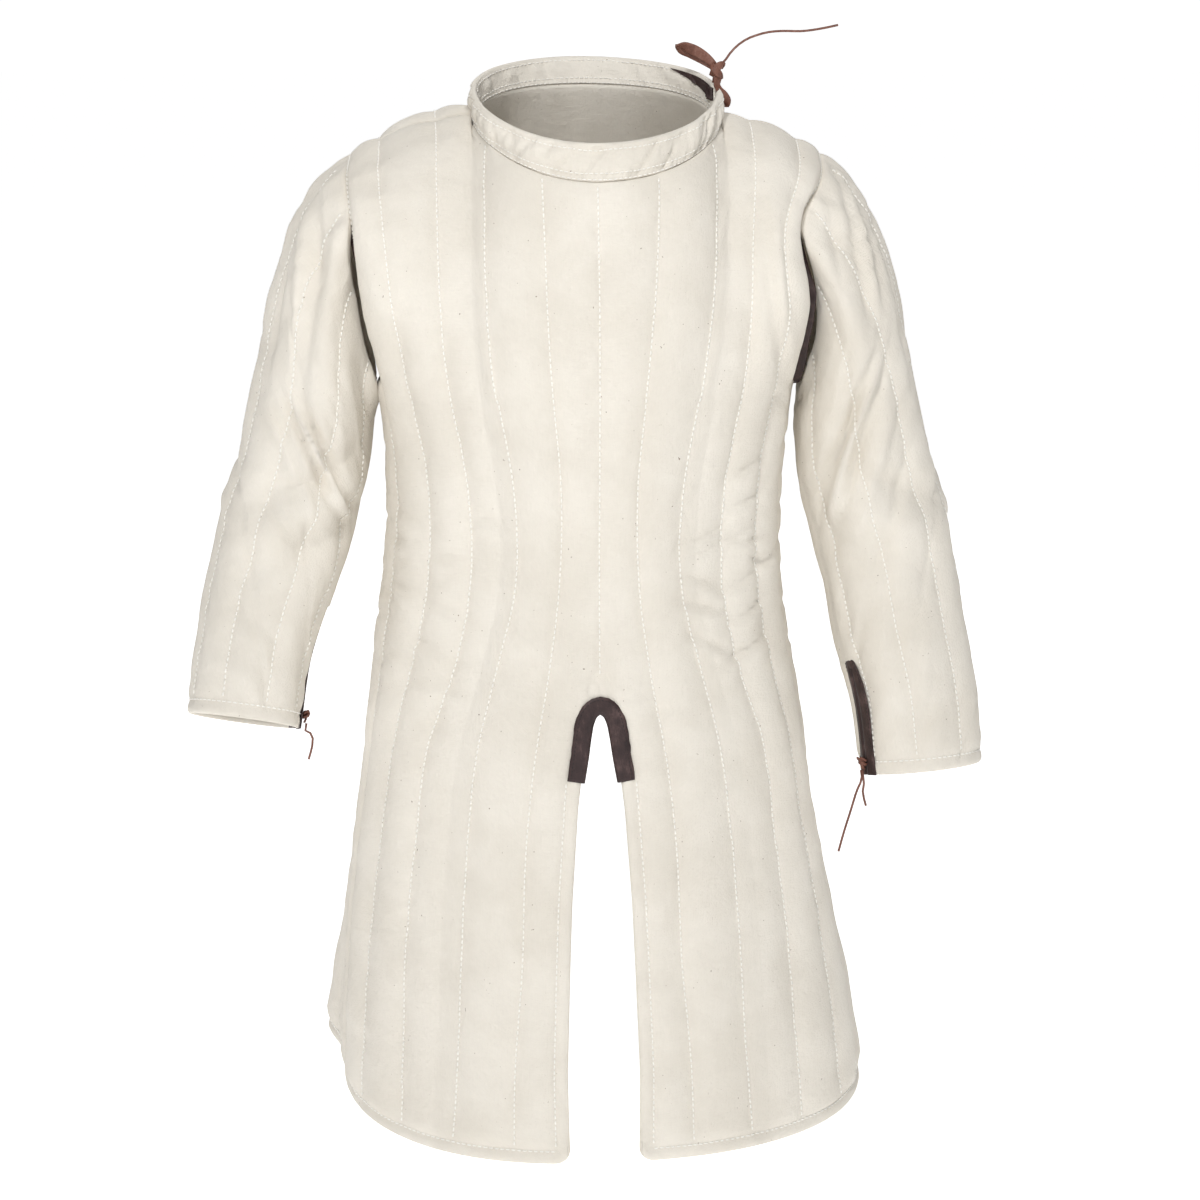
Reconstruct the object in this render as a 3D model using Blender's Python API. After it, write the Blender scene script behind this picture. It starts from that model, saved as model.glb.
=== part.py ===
"""Quilted arming coat of cream cotton, worn form, hollow, in metres with +Z up.

The origin is at the neck point of the shoulders, where the coat hangs on its wearer.
The front faces -Y and the wearer's left is +X. A drop is a distance below the origin.
"""
import math
from collections import namedtuple
from functools import lru_cache

import bmesh
import bpy
import numpy as np

# Cloth walls
WALL_HALF = 0.0025
PUFF = 0.0045
PUFF_ROUND = 0.7
SEAM_GAP = 0.0003
SLEEVE_GAP = 0.0004

# Neckline and shoulder
NECK_HALF = 0.110
NECK_SHIFT = 0.008
NECK_FRONT = 0.110
NECK_BACK = 0.078
SHOULDER_TIP = 0.213
SHOULDER_START = -0.008
SHOULDER_FALL = 0.032
SHOULDER_BEND = 1.7
NECK_END = 7 / 3

# Body levels
ARMPIT_DROP = 0.250
HEM_FRONT = 0.942
HEM_BACK = 0.888
HEM_SIDE = {-1: 0.918, 1: 0.936}
ROUNDNESS = 2.3
FLUTE_REACH = 0.045
ARMHOLE_CENTRE = -0.150
SEAM_SPREAD = 0.35

# Collar: share of its height for each row of points, and the swelling of each row
COLLAR_ROWS = [0, 0.18, 0.50, 0.84, 1]
COLLAR_SWELLS = [0, 0, 0.0025, 0, 0]
COLLAR_OPEN_SHARE = 0.25

# How far the collar leads back and up, one row for each turn from the front centre
Rise = namedtuple("Rise", "turn back up")
RISES = [Rise(0, 0.010, 0.033), Rise(90, 0.002, 0.026), Rise(135, 0.006, 0.024), Rise(180, 0.015, 0.025),
         Rise(225, 0.006, 0.024), Rise(270, 0.002, 0.026), Rise(360, 0.010, 0.033), Rise(450, 0.002, 0.026)]

# Leather and laces
LEATHER = 0.0014
SLIT_LEATHER_END = 0.590
FACING_SEAT = 0.0005
FACING_OUT = {1: 0.015, -1: 0.010}
LACE_RADIUS = 0.0011
TIE_SIDES = 10
COLLAR_FACING_COLUMNS = 3
COLLAR_FACING_ROWS = [2, 3, 4]
SEAT = 0.0003

# One row for each section: drop, half width right and left, back flute, depths
Section = namedtuple("Section", "drop right left flute front back")
SECTIONS = [
    Section(0.200, 0.196, 0.194, 0.000, 0.135, 0.112),
    Section(0.250, 0.187, 0.184, 0.000, 0.135, 0.112),
    Section(0.320, 0.182, 0.176, 0.000, 0.132, 0.104),
    Section(0.420, 0.187, 0.176, 0.000, 0.128, 0.100),
    Section(0.490, 0.196, 0.184, 0.000, 0.134, 0.112),
    Section(0.570, 0.204, 0.199, 0.000, 0.146, 0.126),
    Section(0.650, 0.214, 0.210, 0.003, 0.156, 0.136),
    Section(0.760, 0.227, 0.232, 0.012, 0.168, 0.150),
    Section(0.860, 0.235, 0.254, 0.028, 0.180, 0.164),
    Section(0.945, 0.238, 0.267, 0.040, 0.190, 0.176),
]

# One row for each level of the quilting: distance of each stitched line from the centre
Quilting = namedtuple("Quilting", "drop line1 line2 line3 line4 line5")
QUILTING = [
    Quilting(0.250, 0.040, 0.088, 0.132, 0.177, 0.236),
    Quilting(0.320, 0.034, 0.076, 0.118, 0.160, 0.213),
    Quilting(0.420, 0.036, 0.075, 0.116, 0.160, 0.214),
    Quilting(0.490, 0.045, 0.092, 0.131, 0.176, 0.225),
    Quilting(0.570, 0.059, 0.112, 0.161, 0.203, 0.250),
    Quilting(0.650, 0.068, 0.122, 0.174, 0.220, 0.274),
    Quilting(0.760, 0.073, 0.130, 0.187, 0.240, 0.292),
    Quilting(0.860, 0.081, 0.135, 0.192, 0.250, 0.305),
    Quilting(0.945, 0.083, 0.142, 0.197, 0.258, 0.312),
]

# One row for each level of the centre slit: half opening, stitched line, extra at the back
Slit = namedtuple("Slit", "drop edge stitch spread")
SLIT = [
    Slit(0.2500, 0.0080, 0.0200, 0.000),
    Slit(0.5000, 0.0060, 0.0150, 0.000),
    Slit(0.5135, 0.0045, 0.0120, 0.000),
    Slit(0.5275, 0.0045, 0.0175, 0.004),
    Slit(0.5335, 0.0080, 0.0215, 0.006),
    Slit(0.5470, 0.0110, 0.0245, 0.009),
    Slit(0.5670, 0.0140, 0.0275, 0.014),
    Slit(0.5900, 0.0180, 0.0315, 0.019),
    Slit(0.6150, 0.0210, 0.0335, 0.022),
    Slit(0.7000, 0.0270, 0.0395, 0.028),
    Slit(0.7600, 0.0295, 0.0420, 0.031),
    Slit(0.8600, 0.0330, 0.0455, 0.034),
    Slit(0.9420, 0.0320, 0.0445, 0.036),
]
SLIT_TOP = 0.5275
SLIT_TOP_ABOVE = 0.5135

# Rows of the body: yoke rows by share of the way down, lower rows by drop at the centre
YOKE_ROWS = [0, 0.1, 0.2, 0.3, 0.4, 0.5, 0.625, 0.75, 0.875]
NOTCH_ROW = 5
LOWER_DROPS = [0.25, 0.29, 0.33, 0.37, 0.41, 0.45, 0.485, SLIT_TOP_ABOVE, SLIT_TOP, 0.5335,
               0.547, 0.567, SLIT_LEATHER_END, 0.64, 0.69, 0.745, 0.80, 0.86, 0.915, 0.930, 0.942]
HEM_FLAT_FROM = 0.930
EDGE_AT = 0.20
STITCH_AT = 0.45
HALF_COLUMNS = [0, EDGE_AT, STITCH_AT, 0.725, 1, 4 / 3, 5 / 3, 2, 7 / 3, 8 / 3, 3, 10 / 3,
                11 / 3, 4, 4.5, 5, 16 / 3, 17 / 3, 6]

# Fall of the body's cloth where it leaves its top edge, in degrees, one row for each column
Steep = namedtuple("Steep", "column front back_right back_left")
STEEPS = [Steep(0, 74, 74, 74), Steep(1, 66, 62, 62), Steep(2, 42, 20, 30), Steep(NECK_END, 30, -20, 10),
          Steep(3, 14, -38, -8), Steep(5, 7, -22, -4)]

# Armhole edge between the shoulder tip and the armpit, one row for each place
ArmholePlace = namedtuple("ArmholePlace", "share x y z")
ARMHOLES = {
    (-1, -1): [ArmholePlace(0.25, 0.216, 0.041, -0.060), ArmholePlace(0.50, 0.212, 0.070, -0.100),
               ArmholePlace(0.75, 0.203, 0.066, -0.165)],
    (-1, 1): [ArmholePlace(0.25, 0.212, 0.040, -0.060), ArmholePlace(0.50, 0.202, 0.068, -0.100),
              ArmholePlace(0.75, 0.198, 0.066, -0.165)],
    (1, -1): [ArmholePlace(0.25, 0.206, 0.044, -0.063), ArmholePlace(0.50, 0.182, 0.072, -0.102),
              ArmholePlace(0.75, 0.190, 0.070, -0.165)],
    (1, 1): [ArmholePlace(0.25, 0.212, 0.040, -0.060), ArmholePlace(0.50, 0.202, 0.068, -0.100),
             ArmholePlace(0.75, 0.198, 0.066, -0.165)],
}

# One row for each section of a sleeve: drop, place of the centre, half width and half depth
Arm = namedtuple("Arm", "drop x y wide deep")
ARMS = {
    1: [Arm(0.290, 0.2565, 0.000, 0.0560, 0.066), Arm(0.326, 0.2620, -0.002, 0.0590, 0.064),
        Arm(0.362, 0.2716, -0.006, 0.0600, 0.062), Arm(0.420, 0.2846, -0.015, 0.0585, 0.060),
        Arm(0.482, 0.2950, -0.030, 0.0575, 0.057), Arm(0.531, 0.3055, -0.042, 0.0555, 0.055),
        Arm(0.611, 0.3135, -0.060, 0.0540, 0.052)],
    -1: [Arm(0.290, 0.2590, 0.000, 0.0540, 0.066), Arm(0.326, 0.2660, -0.004, 0.0555, 0.064),
         Arm(0.352, 0.2735, -0.010, 0.0560, 0.062), Arm(0.390, 0.2845, -0.020, 0.0550, 0.060),
         Arm(0.428, 0.2965, -0.030, 0.0525, 0.057), Arm(0.480, 0.3105, -0.050, 0.0485, 0.053),
         Arm(0.546, 0.3220, -0.073, 0.0485, 0.050)],
}
SLEEVE_TURN = {1: 0, -1: -10}
SLEEVE_SLIT = {1: -11, -1: -12}
SLEEVE_STEP = 15
CAP_COLUMNS = 5
FREE_COLUMNS = 6
HEAD_RINGS = 5
ARM_RINGS = 11
CUFF_SLIT_LENGTH = 0.110
CUFF_SLIT_HALF = 0.003
CUFF_HEM = 0.012
FREE_EDGE_OFF = {1: 0.019, -1: 0.013}

# Laces: the tie is drawn out flat, one row for each place along it
Tie = namedtuple("Tie", "across up wide thick")
COLLAR_TIE_Y = 0.013
COLLAR_TIE = [Tie(0.0826, 0.0561, 0.0008, 0.0007), Tie(0.0850, 0.0568, 0.0034, 0.0012),
              Tie(0.0905, 0.0560, 0.0044, 0.0014), Tie(0.0980, 0.0527, 0.0041, 0.0014),
              Tie(0.1060, 0.0476, 0.0026, 0.0014), Tie(0.1125, 0.0432, 0.0017, 0.0016),
              Tie(0.1165, 0.0412, 0.0030, 0.0030), Tie(0.1200, 0.0375, 0.0050, 0.0046),
              Tie(0.1210, 0.0330, 0.0047, 0.0046), Tie(0.1204, 0.0280, 0.0034, 0.0032),
              Tie(0.1190, 0.0235, 0.0024, 0.0016), Tie(0.1196, 0.0195, 0.0022, 0.0014),
              Tie(0.1245, 0.0155, 0.0026, 0.0014),
              Tie(0.1284, 0.0110, 0.0040, 0.0014), Tie(0.1300, 0.0050, 0.0040, 0.0013),
              Tie(0.1303, 0.0018, 0.0012, 0.0008)]
CUFF_TIE = [Tie(-0.0088, 0.0030, 0.0007, 0.0007), Tie(-0.0072, 0.0030, 0.0022, 0.0012),
            Tie(-0.0048, 0.0016, 0.0016, 0.0012), Tie(-0.0028, 0.0006, 0.0030, 0.0030),
            Tie(0.0000, -0.0010, 0.0042, 0.0042), Tie(0.0006, -0.0048, 0.0034, 0.0026),
            Tie(0.0006, -0.0070, 0.0030, 0.0014)]
CUFF_TIE_HALF = 0.0042
TAIL_BELOW_KNOT = 0.0075
TAIL_STRAIGHT = 0.007

# Routes of the free lace ends; a cuff's end leaves its knot beside its middle
Place = namedtuple("Place", "x y z")
COLLAR_TAIL = [Place(0.1247, 0.013, 0.0403), Place(0.1276, 0.013, 0.0434), Place(0.1315, 0.013, 0.0490),
               Place(0.1392, 0.013, 0.0569), Place(0.1474, 0.013, 0.0623), Place(0.1566, 0.013, 0.0658),
               Place(0.1675, 0.013, 0.0685), Place(0.1786, 0.013, 0.0694), Place(0.1988, 0.013, 0.0694),
               Place(0.2181, 0.013, 0.0721), Place(0.2310, 0.013, 0.0748)]
Tail = namedtuple("Tail", "across route")
CUFF_TAILS = {
    "left_long": Tail(-0.0009, [Place(-0.0035, -0.002, -0.028), Place(-0.0090, -0.003, -0.047),
                                Place(-0.0150, -0.004, -0.067), Place(-0.0200, -0.005, -0.086)]),
    "left_short": Tail(0.0021, [Place(0.0032, -0.003, -0.018), Place(0.0022, -0.003, -0.028),
                                Place(0.0055, -0.003, -0.042)]),
    "right_short": Tail(0.0006, [Place(0.0036, -0.001, -0.018), Place(0.0038, -0.001, -0.028),
                                 Place(0.0000, -0.001, -0.042)]),
}

# Large folds of a sleeve: place round the arm in degrees, drop, reach of each, height
Fold = namedtuple("Fold", "turn drop reach_turn reach_drop slant height")
FOLDS = {
    1: [Fold(-80, 0.345, 46, 0.018, 0.0006, -0.007), Fold(-120, 0.400, 40, 0.017, 0.0006, -0.006),
        Fold(-100, 0.372, 44, 0.015, 0.0006, 0.004), Fold(70, 0.370, 45, 0.020, -0.0005, -0.006)],
    -1: [Fold(-105, 0.330, 50, 0.018, 0.0007, -0.008), Fold(-130, 0.385, 48, 0.017, 0.0007, -0.008),
         Fold(-115, 0.358, 46, 0.015, 0.0007, 0.005), Fold(75, 0.365, 45, 0.020, -0.0005, -0.006)],
}

CREAM = (0.80, 0.75, 0.65)
DARK_LEATHER = (0.045, 0.030, 0.028)
LACE_LEATHER = (0.26, 0.10, 0.055)


def unit(vector):
    """Give a vector, or each vector of an array, the length one."""
    vector = np.asarray(vector, float)
    return vector / np.maximum(np.linalg.norm(vector, axis=-1, keepdims=True), 1e-12)


def hermite(start, start_slope, end, end_slope, share):
    """Point on the cubic between two points with given slopes."""
    a, b = share * share, share * share * share
    return ((2 * b - 3 * a + 1) * start + (b - 2 * a + share) * start_slope
            + (3 * a - 2 * b) * end + (b - a) * end_slope)


def smooth(knots, values, at):
    """Value of a smooth curve through the rows of a table."""
    knots = np.asarray(knots, float)
    values = np.asarray(values, float)
    slopes = np.gradient(values, knots, axis=0)
    i = int(np.clip(np.searchsorted(knots, at) - 1, 0, len(knots) - 2))
    span = knots[i + 1] - knots[i]
    share = min(max((at - knots[i]) / span, 0.0), 1.0)
    return hermite(values[i], slopes[i] * span, values[i + 1], slopes[i + 1] * span, share)


def column_of(rows, name):
    """One named column of a table."""
    return [getattr(row, name) for row in rows]


def section_value(drop, name):
    """Size of the body's section at a drop."""
    return float(smooth(column_of(SECTIONS, "drop"), column_of(SECTIONS, name), drop))


def slit_value(cut, name):
    """Size of the centre slit at a drop on the front's cut."""
    return float(np.interp(cut, column_of(SLIT, "drop"), column_of(SLIT, name)))


@lru_cache(maxsize=None)
def quarter_section(drop, side, face):
    """Outline of the body from its centre to the side seam, with its running length."""
    half = section_value(drop, "right" if side < 0 else "left")
    depth = section_value(drop, "front" if face < 0 else "back")
    turn = np.linspace(0, math.pi / 2, 161)
    fore = depth * np.cos(turn) ** (2 / ROUNDNESS)
    fore[-1] = 0
    flute = section_value(drop, "flute") if side < 0 < face else 0
    across = (half + flute) * np.sin(turn) ** (2 / ROUNDNESS)
    across = across - flute * np.exp(-(fore / FLUTE_REACH) ** 2)
    steps = np.hypot(np.diff(across), np.diff(fore))
    return across, fore, np.concatenate([[0], np.cumsum(steps)])


def line_length(cut, column, total, share, face):
    """Distance of a column from the centre, along a section; share is its length over the front's."""
    spread = slit_value(cut, "spread") if face > 0 else 0
    places = [0, slit_value(cut, "edge") + spread, slit_value(cut, "stitch") + spread]
    for k, name in enumerate(("line1", "line2", "line3", "line4", "line5"), 1):
        along = float(smooth(column_of(QUILTING, "drop"), column_of(QUILTING, name), cut))
        places.append(along * share + spread * (1 - k / 6))
    places.append(total)
    return float(np.interp(column, [0, EDGE_AT, STITCH_AT, 1, 2, 3, 4, 5, 6], places))


def armpit_drop(column):
    """Drop at which a column passes from the yoke to the lower body."""
    return float(np.interp(column, [0, 4, 5, 5.5, 6],
                           [ARMPIT_DROP, ARMPIT_DROP, ARMPIT_DROP - 0.012, ARMPIT_DROP, ARMPIT_DROP + 0.003]))


def lower_point(side, face, share, column):
    """Point of the body below the armpit; share runs from 0 at the armpit to 1 at the hem."""
    centre = HEM_FRONT if face < 0 else HEM_BACK
    hem = centre + (HEM_SIDE[side] - centre) * (column / 6) ** 2
    drop = armpit_drop(column) + (hem - armpit_drop(column)) * share
    cut = ARMPIT_DROP + (HEM_FRONT - ARMPIT_DROP) * share
    across, fore, run = quarter_section(round(drop, 5), side, face)
    front_run = quarter_section(round(drop, 5), side, -1)[2]
    along = line_length(max(cut, ARMPIT_DROP), column, run[-1], run[-1] / front_run[-1], face)
    x = np.interp(along, run, across)
    y = np.interp(along, run, fore)
    return np.array([side * x, face * y, -drop])


def neck_point(side, face, turn):
    """Point of the neckline; turn runs from 0 at the centre to 90 at the shoulder seam."""
    angle = math.radians(turn)
    depth = NECK_FRONT if face < 0 else NECK_BACK
    around = angle if face < 0 else math.pi - angle
    height = -0.0135 - 0.041 * math.cos(around) - 0.0055 * math.cos(2 * around)
    y = 0.0 if turn == 90 else face * depth * math.cos(angle)
    return np.array([(side * NECK_HALF + NECK_SHIFT) * math.sin(angle), y, height])


def shoulder_point(side, share):
    """Point of the shoulder seam, from the neck to the shoulder tip."""
    start = side * NECK_HALF + NECK_SHIFT
    x = start + (side * SHOULDER_TIP - start) * share
    return np.array([x, 0.0, SHOULDER_START - SHOULDER_FALL * share ** SHOULDER_BEND])


def top_point(side, face, column):
    """Point of the panel's top edge: the neckline, then the shoulder seam."""
    if column <= NECK_END:
        turn = float(np.interp(column, [0, 1, 2, NECK_END], [0, 27, 65, 90]))
        return neck_point(side, face, turn)
    return shoulder_point(side, float(np.interp(column, [NECK_END, 3, 4, 5], [0, 0.31, 0.76, 1])))


def yoke_curve(side, face, share, column):
    """Point of a free column of the yoke, from its top edge to the armpit level."""
    top = top_point(side, face, column)
    part = "front" if face < 0 else "back_right" if side < 0 else "back_left"
    steep = math.radians(float(np.interp(column, column_of(STEEPS, "column"), column_of(STEEPS, part))))
    bottom = lower_point(side, face, 0, column)
    below = lower_point(side, face, 0.01, column)
    reach = np.linalg.norm(bottom - top)
    start = np.array([0, face * math.cos(steep), -math.sin(steep)]) * reach * 1.15
    return hermite(top, start, bottom, unit(below - bottom) * reach * 0.9, share)


def armhole_point(side, face, share):
    """Point of the armhole edge, from the shoulder tip to the armpit."""
    rows = ARMHOLES[side, face]
    places = [shoulder_point(side, 1)]
    places += [np.array([side * row.x, face * row.y, row.z]) for row in rows]
    places.append(lower_point(side, face, 0, 5))
    return smooth([0, *column_of(rows, "share"), 1], places, share)


def body_point(side, face, row, column):
    """Point of the body's middle surface; row runs 0 to 1 on the yoke and 1 to 2 below."""
    if row >= 1:
        return lower_point(side, face, row - 1, column)
    column = min(column, 5)
    pull = max(column - NECK_END, 0) / (5 - NECK_END)
    pull = pull * pull * (3 - 2 * pull)
    edge = armhole_point(side, face, row) - yoke_curve(side, face, row, 5)
    return yoke_curve(side, face, row, column) + pull * edge


def vertex_normals(points, cells, wrap=False):
    """Normals of a grid of points, from the cells that it keeps."""
    right = np.roll(points, -1, axis=1) if wrap else points[:, 1:]
    left = points if wrap else points[:, :-1]
    cross = np.cross(right[1:] - left[:-1], left[1:] - right[:-1])
    cross = cross * cells[..., None]
    normals = np.zeros_like(points)
    columns = np.arange(cells.shape[1])
    for down in (0, 1):
        for over in (0, 1):
            target = (columns + over) % points.shape[1]
            rows = slice(down, down + cells.shape[0])
            block = normals[rows]
            np.add.at(block, (slice(None), target), cross)
    return unit(normals)


def wall_mesh(name, outer, inner, cells, mirrored, wrap=False):
    """Closed wall between two grids of points, with a rim on every free edge.

    Cells in the columns that mirrored marks are divided along their other diagonal.
    """
    rows, columns = cells.shape
    width = outer.shape[1]
    bm = bmesh.new()
    made = {}
    row, column = np.argwhere(cells)[len(np.argwhere(cells)) // 2]
    down = outer[row + 1, column] - outer[row, column]
    over = outer[row, (column + 1) % width] - outer[row, column]
    turned = np.dot(np.cross(down, over), outer[row, column] - inner[row, column]) < 0

    def corner(layer, row, column):
        key = (layer, row, column % width)
        if key not in made:
            grid = outer if layer else inner
            made[key] = bm.verts.new(grid[row, column % width])
        return made[key]

    def kept(row, column):
        if wrap:
            column %= columns
        return 0 <= row < rows and 0 <= column < columns and bool(cells[row, column])

    for r in range(rows):
        for c in range(columns):
            if not cells[r, c]:
                continue
            ring = [(r, c), (r + 1, c), (r + 1, c + 1), (r, c + 1)]
            for layer in (1, 0):
                a, b, d, e = (corner(layer, *place) for place in ring)
                pairs = ((a, b, e), (b, d, e)) if mirrored[c] else ((a, b, d), (a, d, e))
                for face in pairs:
                    bm.faces.new(face if bool(layer) != turned else tuple(reversed(face)))
            sides = {(r, c - 1): (0, 1), (r + 1, c): (1, 2), (r, c + 1): (2, 3), (r - 1, c): (3, 0)}
            for neighbour, (i, j) in sides.items():
                if kept(*neighbour):
                    continue
                a, b = corner(1, *ring[i]), corner(1, *ring[j])
                d, e = corner(0, *ring[j]), corner(0, *ring[i])
                for face in ((b, a, d), (a, e, d)) if mirrored[c] else ((b, a, e), (b, e, d)):
                    bm.faces.new(tuple(reversed(face)) if turned else face)
    mesh = bpy.data.meshes.new(name)
    bm.to_mesh(mesh)
    bm.free()
    return mesh


def loft_mesh(name, profiles, leaning=None):
    """Closed solid through a row of like profiles, with flat ends.

    Profiles may share points. The stretches that leaning marks are divided along their other diagonal.
    """
    bm = bmesh.new()
    made = {}
    rings = []
    for profile in profiles:
        ring = []
        for point in profile:
            key = tuple(round(float(value), 7) for value in point)
            if key not in made:
                made[key] = bm.verts.new(key)
            ring.append(made[key])
        rings.append(ring)
    count = len(rings[0])
    for k, (one, two) in enumerate(zip(rings, rings[1:])):
        for i in range(count):
            j = (i + 1) % count
            lean = bool(leaning and leaning[k]) != (i // 2 % 2 == 1)
            halves = (((one[i], one[j], two[j]), (one[i], two[j], two[i])) if lean
                      else ((one[i], one[j], two[i]), (one[j], two[j], two[i])))
            for half in halves:
                if len(set(half)) == 3:
                    bm.faces.new(half)
    for ring in (rings[0], rings[-1]):
        for i in range(count // 2 - 1):
            a, b, d, e = ring[i], ring[i + 1], ring[count - 2 - i], ring[count - 1 - i]
            bm.faces.new((a, b, d))
            bm.faces.new((a, d, e))
    bmesh.ops.recalc_face_normals(bm, faces=bm.faces)
    mesh = bpy.data.meshes.new(name)
    bm.to_mesh(mesh)
    bm.free()
    return mesh


def material(name, colour, roughness):
    """Plain surface of one piece."""
    made = bpy.data.materials.new(name)
    made.use_nodes = True
    shader = made.node_tree.nodes["Principled BSDF"]
    shader.inputs["Base Color"].default_value = (*colour, 1)
    shader.inputs["Roughness"].default_value = roughness
    shader.inputs["Metallic"].default_value = 0
    return made


def add_piece(collection, name, data, colour, roughness=0.9):
    """Put one named piece with its own surface in the coat's collection."""
    piece = bpy.data.objects.new(name, data)
    data.materials.append(material(name + "_surface", colour, roughness))
    collection.objects.link(piece)
    if isinstance(data, bpy.types.Mesh):
        data.shade_smooth()
        data.set_sharp_from_angle(angle=math.radians(50))
    return piece


class Panel:
    """Front or back of the body: its grids of points, cells and normals."""

    def __init__(self, face):
        self.face = face
        lower = [1 + (drop - ARMPIT_DROP) / (HEM_FRONT - ARMPIT_DROP) for drop in LOWER_DROPS]
        self.rows = YOKE_ROWS + lower
        self.columns = [-c for c in reversed(HALF_COLUMNS[1:])] + HALF_COLUMNS
        self.centre = len(HALF_COLUMNS) - 1
        self.points = np.array([[body_point(self.side(c), face, row, abs(c)) for c in self.columns]
                                for row in self.rows])
        self.cells = self.kept_cells()
        self.normals = vertex_normals(self.points, self.cells) * face
        self.share_seam_normals()
        seam = np.abs(self.points[..., 1]) < 1e-9
        self.points[..., 1] += np.where(seam, face * SEAM_GAP / 2, 0)
        self.outer = self.points + self.normals * (WALL_HALF + self.puffs())[..., None]
        self.inner = self.points - self.normals * WALL_HALF

    @staticmethod
    def side(column):
        """Wearer's side of a column, right below zero."""
        return -1 if column < 0 else 1

    def row_at(self, drop):
        """Row of the grid at a drop of the front's cut."""
        return len(YOKE_ROWS) + LOWER_DROPS.index(drop)

    def kept_cells(self):
        """Cells of the panel: none beside the armholes, none in the slit."""
        cells = np.ones((len(self.rows) - 1, len(self.columns) - 1), bool)
        middles = (np.array(self.columns[1:]) + np.array(self.columns[:-1])) / 2
        cells[:len(YOKE_ROWS), np.abs(middles) > 5] = False
        cells[self.row_at(SLIT_TOP):, np.abs(middles) < EDGE_AT] = False
        return cells

    def share_seam_normals(self):
        """Give the seams the normals that both of their pieces use."""
        last = len(self.columns) - 1
        for r, row in enumerate(self.rows):
            for c, column in enumerate(self.columns):
                side, place = self.side(column), abs(column)
                point = self.points[r, c]
                if row >= 1 and c in (0, last):
                    self.normals[r, c] = self.side_seam_normal(side, row)
                if r == 0:
                    self.normals[r, c] = self.top_normal(side, place)
                if 0 < row < 1 and place == 5:
                    share = min(max((0.75 - row) / 0.25, 0), 1)
                    mixed = self.normals[r, c] * (1 - share) + armhole_normal(side, point) * share
                    self.normals[r, c] = unit(mixed)

    @staticmethod
    def side_seam_normal(side, row):
        """Normal at the side seam, square to the seam and level with Y."""
        above = lower_point(side, -1, max(row - 1 - 0.02, 0), 6)
        below = lower_point(side, -1, min(row - 1 + 0.02, 1), 6)
        along = unit(below - above)
        return unit([side * abs(along[2]), 0, side * along[0] * math.copysign(1, -along[2])])

    def top_normal(self, side, place):
        """Normal at the neckline or the shoulder seam."""
        step = 0.02
        if place > NECK_END:
            share = float(np.interp(place, [NECK_END, 3, 4, 5], [0, 0.31, 0.76, 1]))
            return shoulder_normal(side, share)
        if place == NECK_END:
            return unit(shoulder_normal(side, 0) + np.array([side, 0, 0]))
        below = body_point(side, self.face, step, place) - body_point(side, self.face, 0, place)
        after = body_point(side, self.face, 0, place + step) - body_point(side, self.face, 0, place)
        own = unit(np.cross(unit(below), unit(after)) * -self.face * side)
        turn = math.radians(float(np.interp(place, [0, 1, 2, NECK_END], [0, 27, 65, 90])))
        level = np.array([side * math.sin(turn), self.face * math.cos(turn), 0])
        return unit(own + level)

    def puffs(self):
        """Height of the quilting over its grooves."""
        heights = np.zeros(self.points.shape[:2])
        for r, row in enumerate(self.rows):
            cut = ARMPIT_DROP + (HEM_FRONT - ARMPIT_DROP) * (row - 1)
            if r == 0 or cut > HEM_FLAT_FROM - 1e-6:
                continue
            for c, column in enumerate(self.columns):
                place = abs(column)
                share = place % 1
                if place < 1:
                    first = STITCH_AT if cut > SLIT_TOP_ABOVE - 1e-6 else 0
                    share = max(place - first, 0) / (1 - first)
                if row < 1 and place == 5:
                    share = 0
                heights[r, c] = PUFF * math.sin(math.pi * share) ** PUFF_ROUND
        return heights


def shoulder_normal(side, share):
    """Normal of the shoulder seam, square to the seam and level with Y; shared at its ends."""
    before = shoulder_point(side, max(share - 0.02, 0))
    after = shoulder_point(side, min(share + 0.02, 1))
    along = unit(after - before)
    plain = unit([-along[2] * side * math.copysign(1, along[0] * side), 0, abs(along[0])])
    if share == 1:
        return unit(plain + armhole_normal(side, after))
    return plain


def armhole_normal(side, point):
    """Normal that the body and the sleeve share at the armhole seam."""
    return unit([side * SEAM_SPREAD, *unit([point[1], point[2] - ARMHOLE_CENTRE])])


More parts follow.
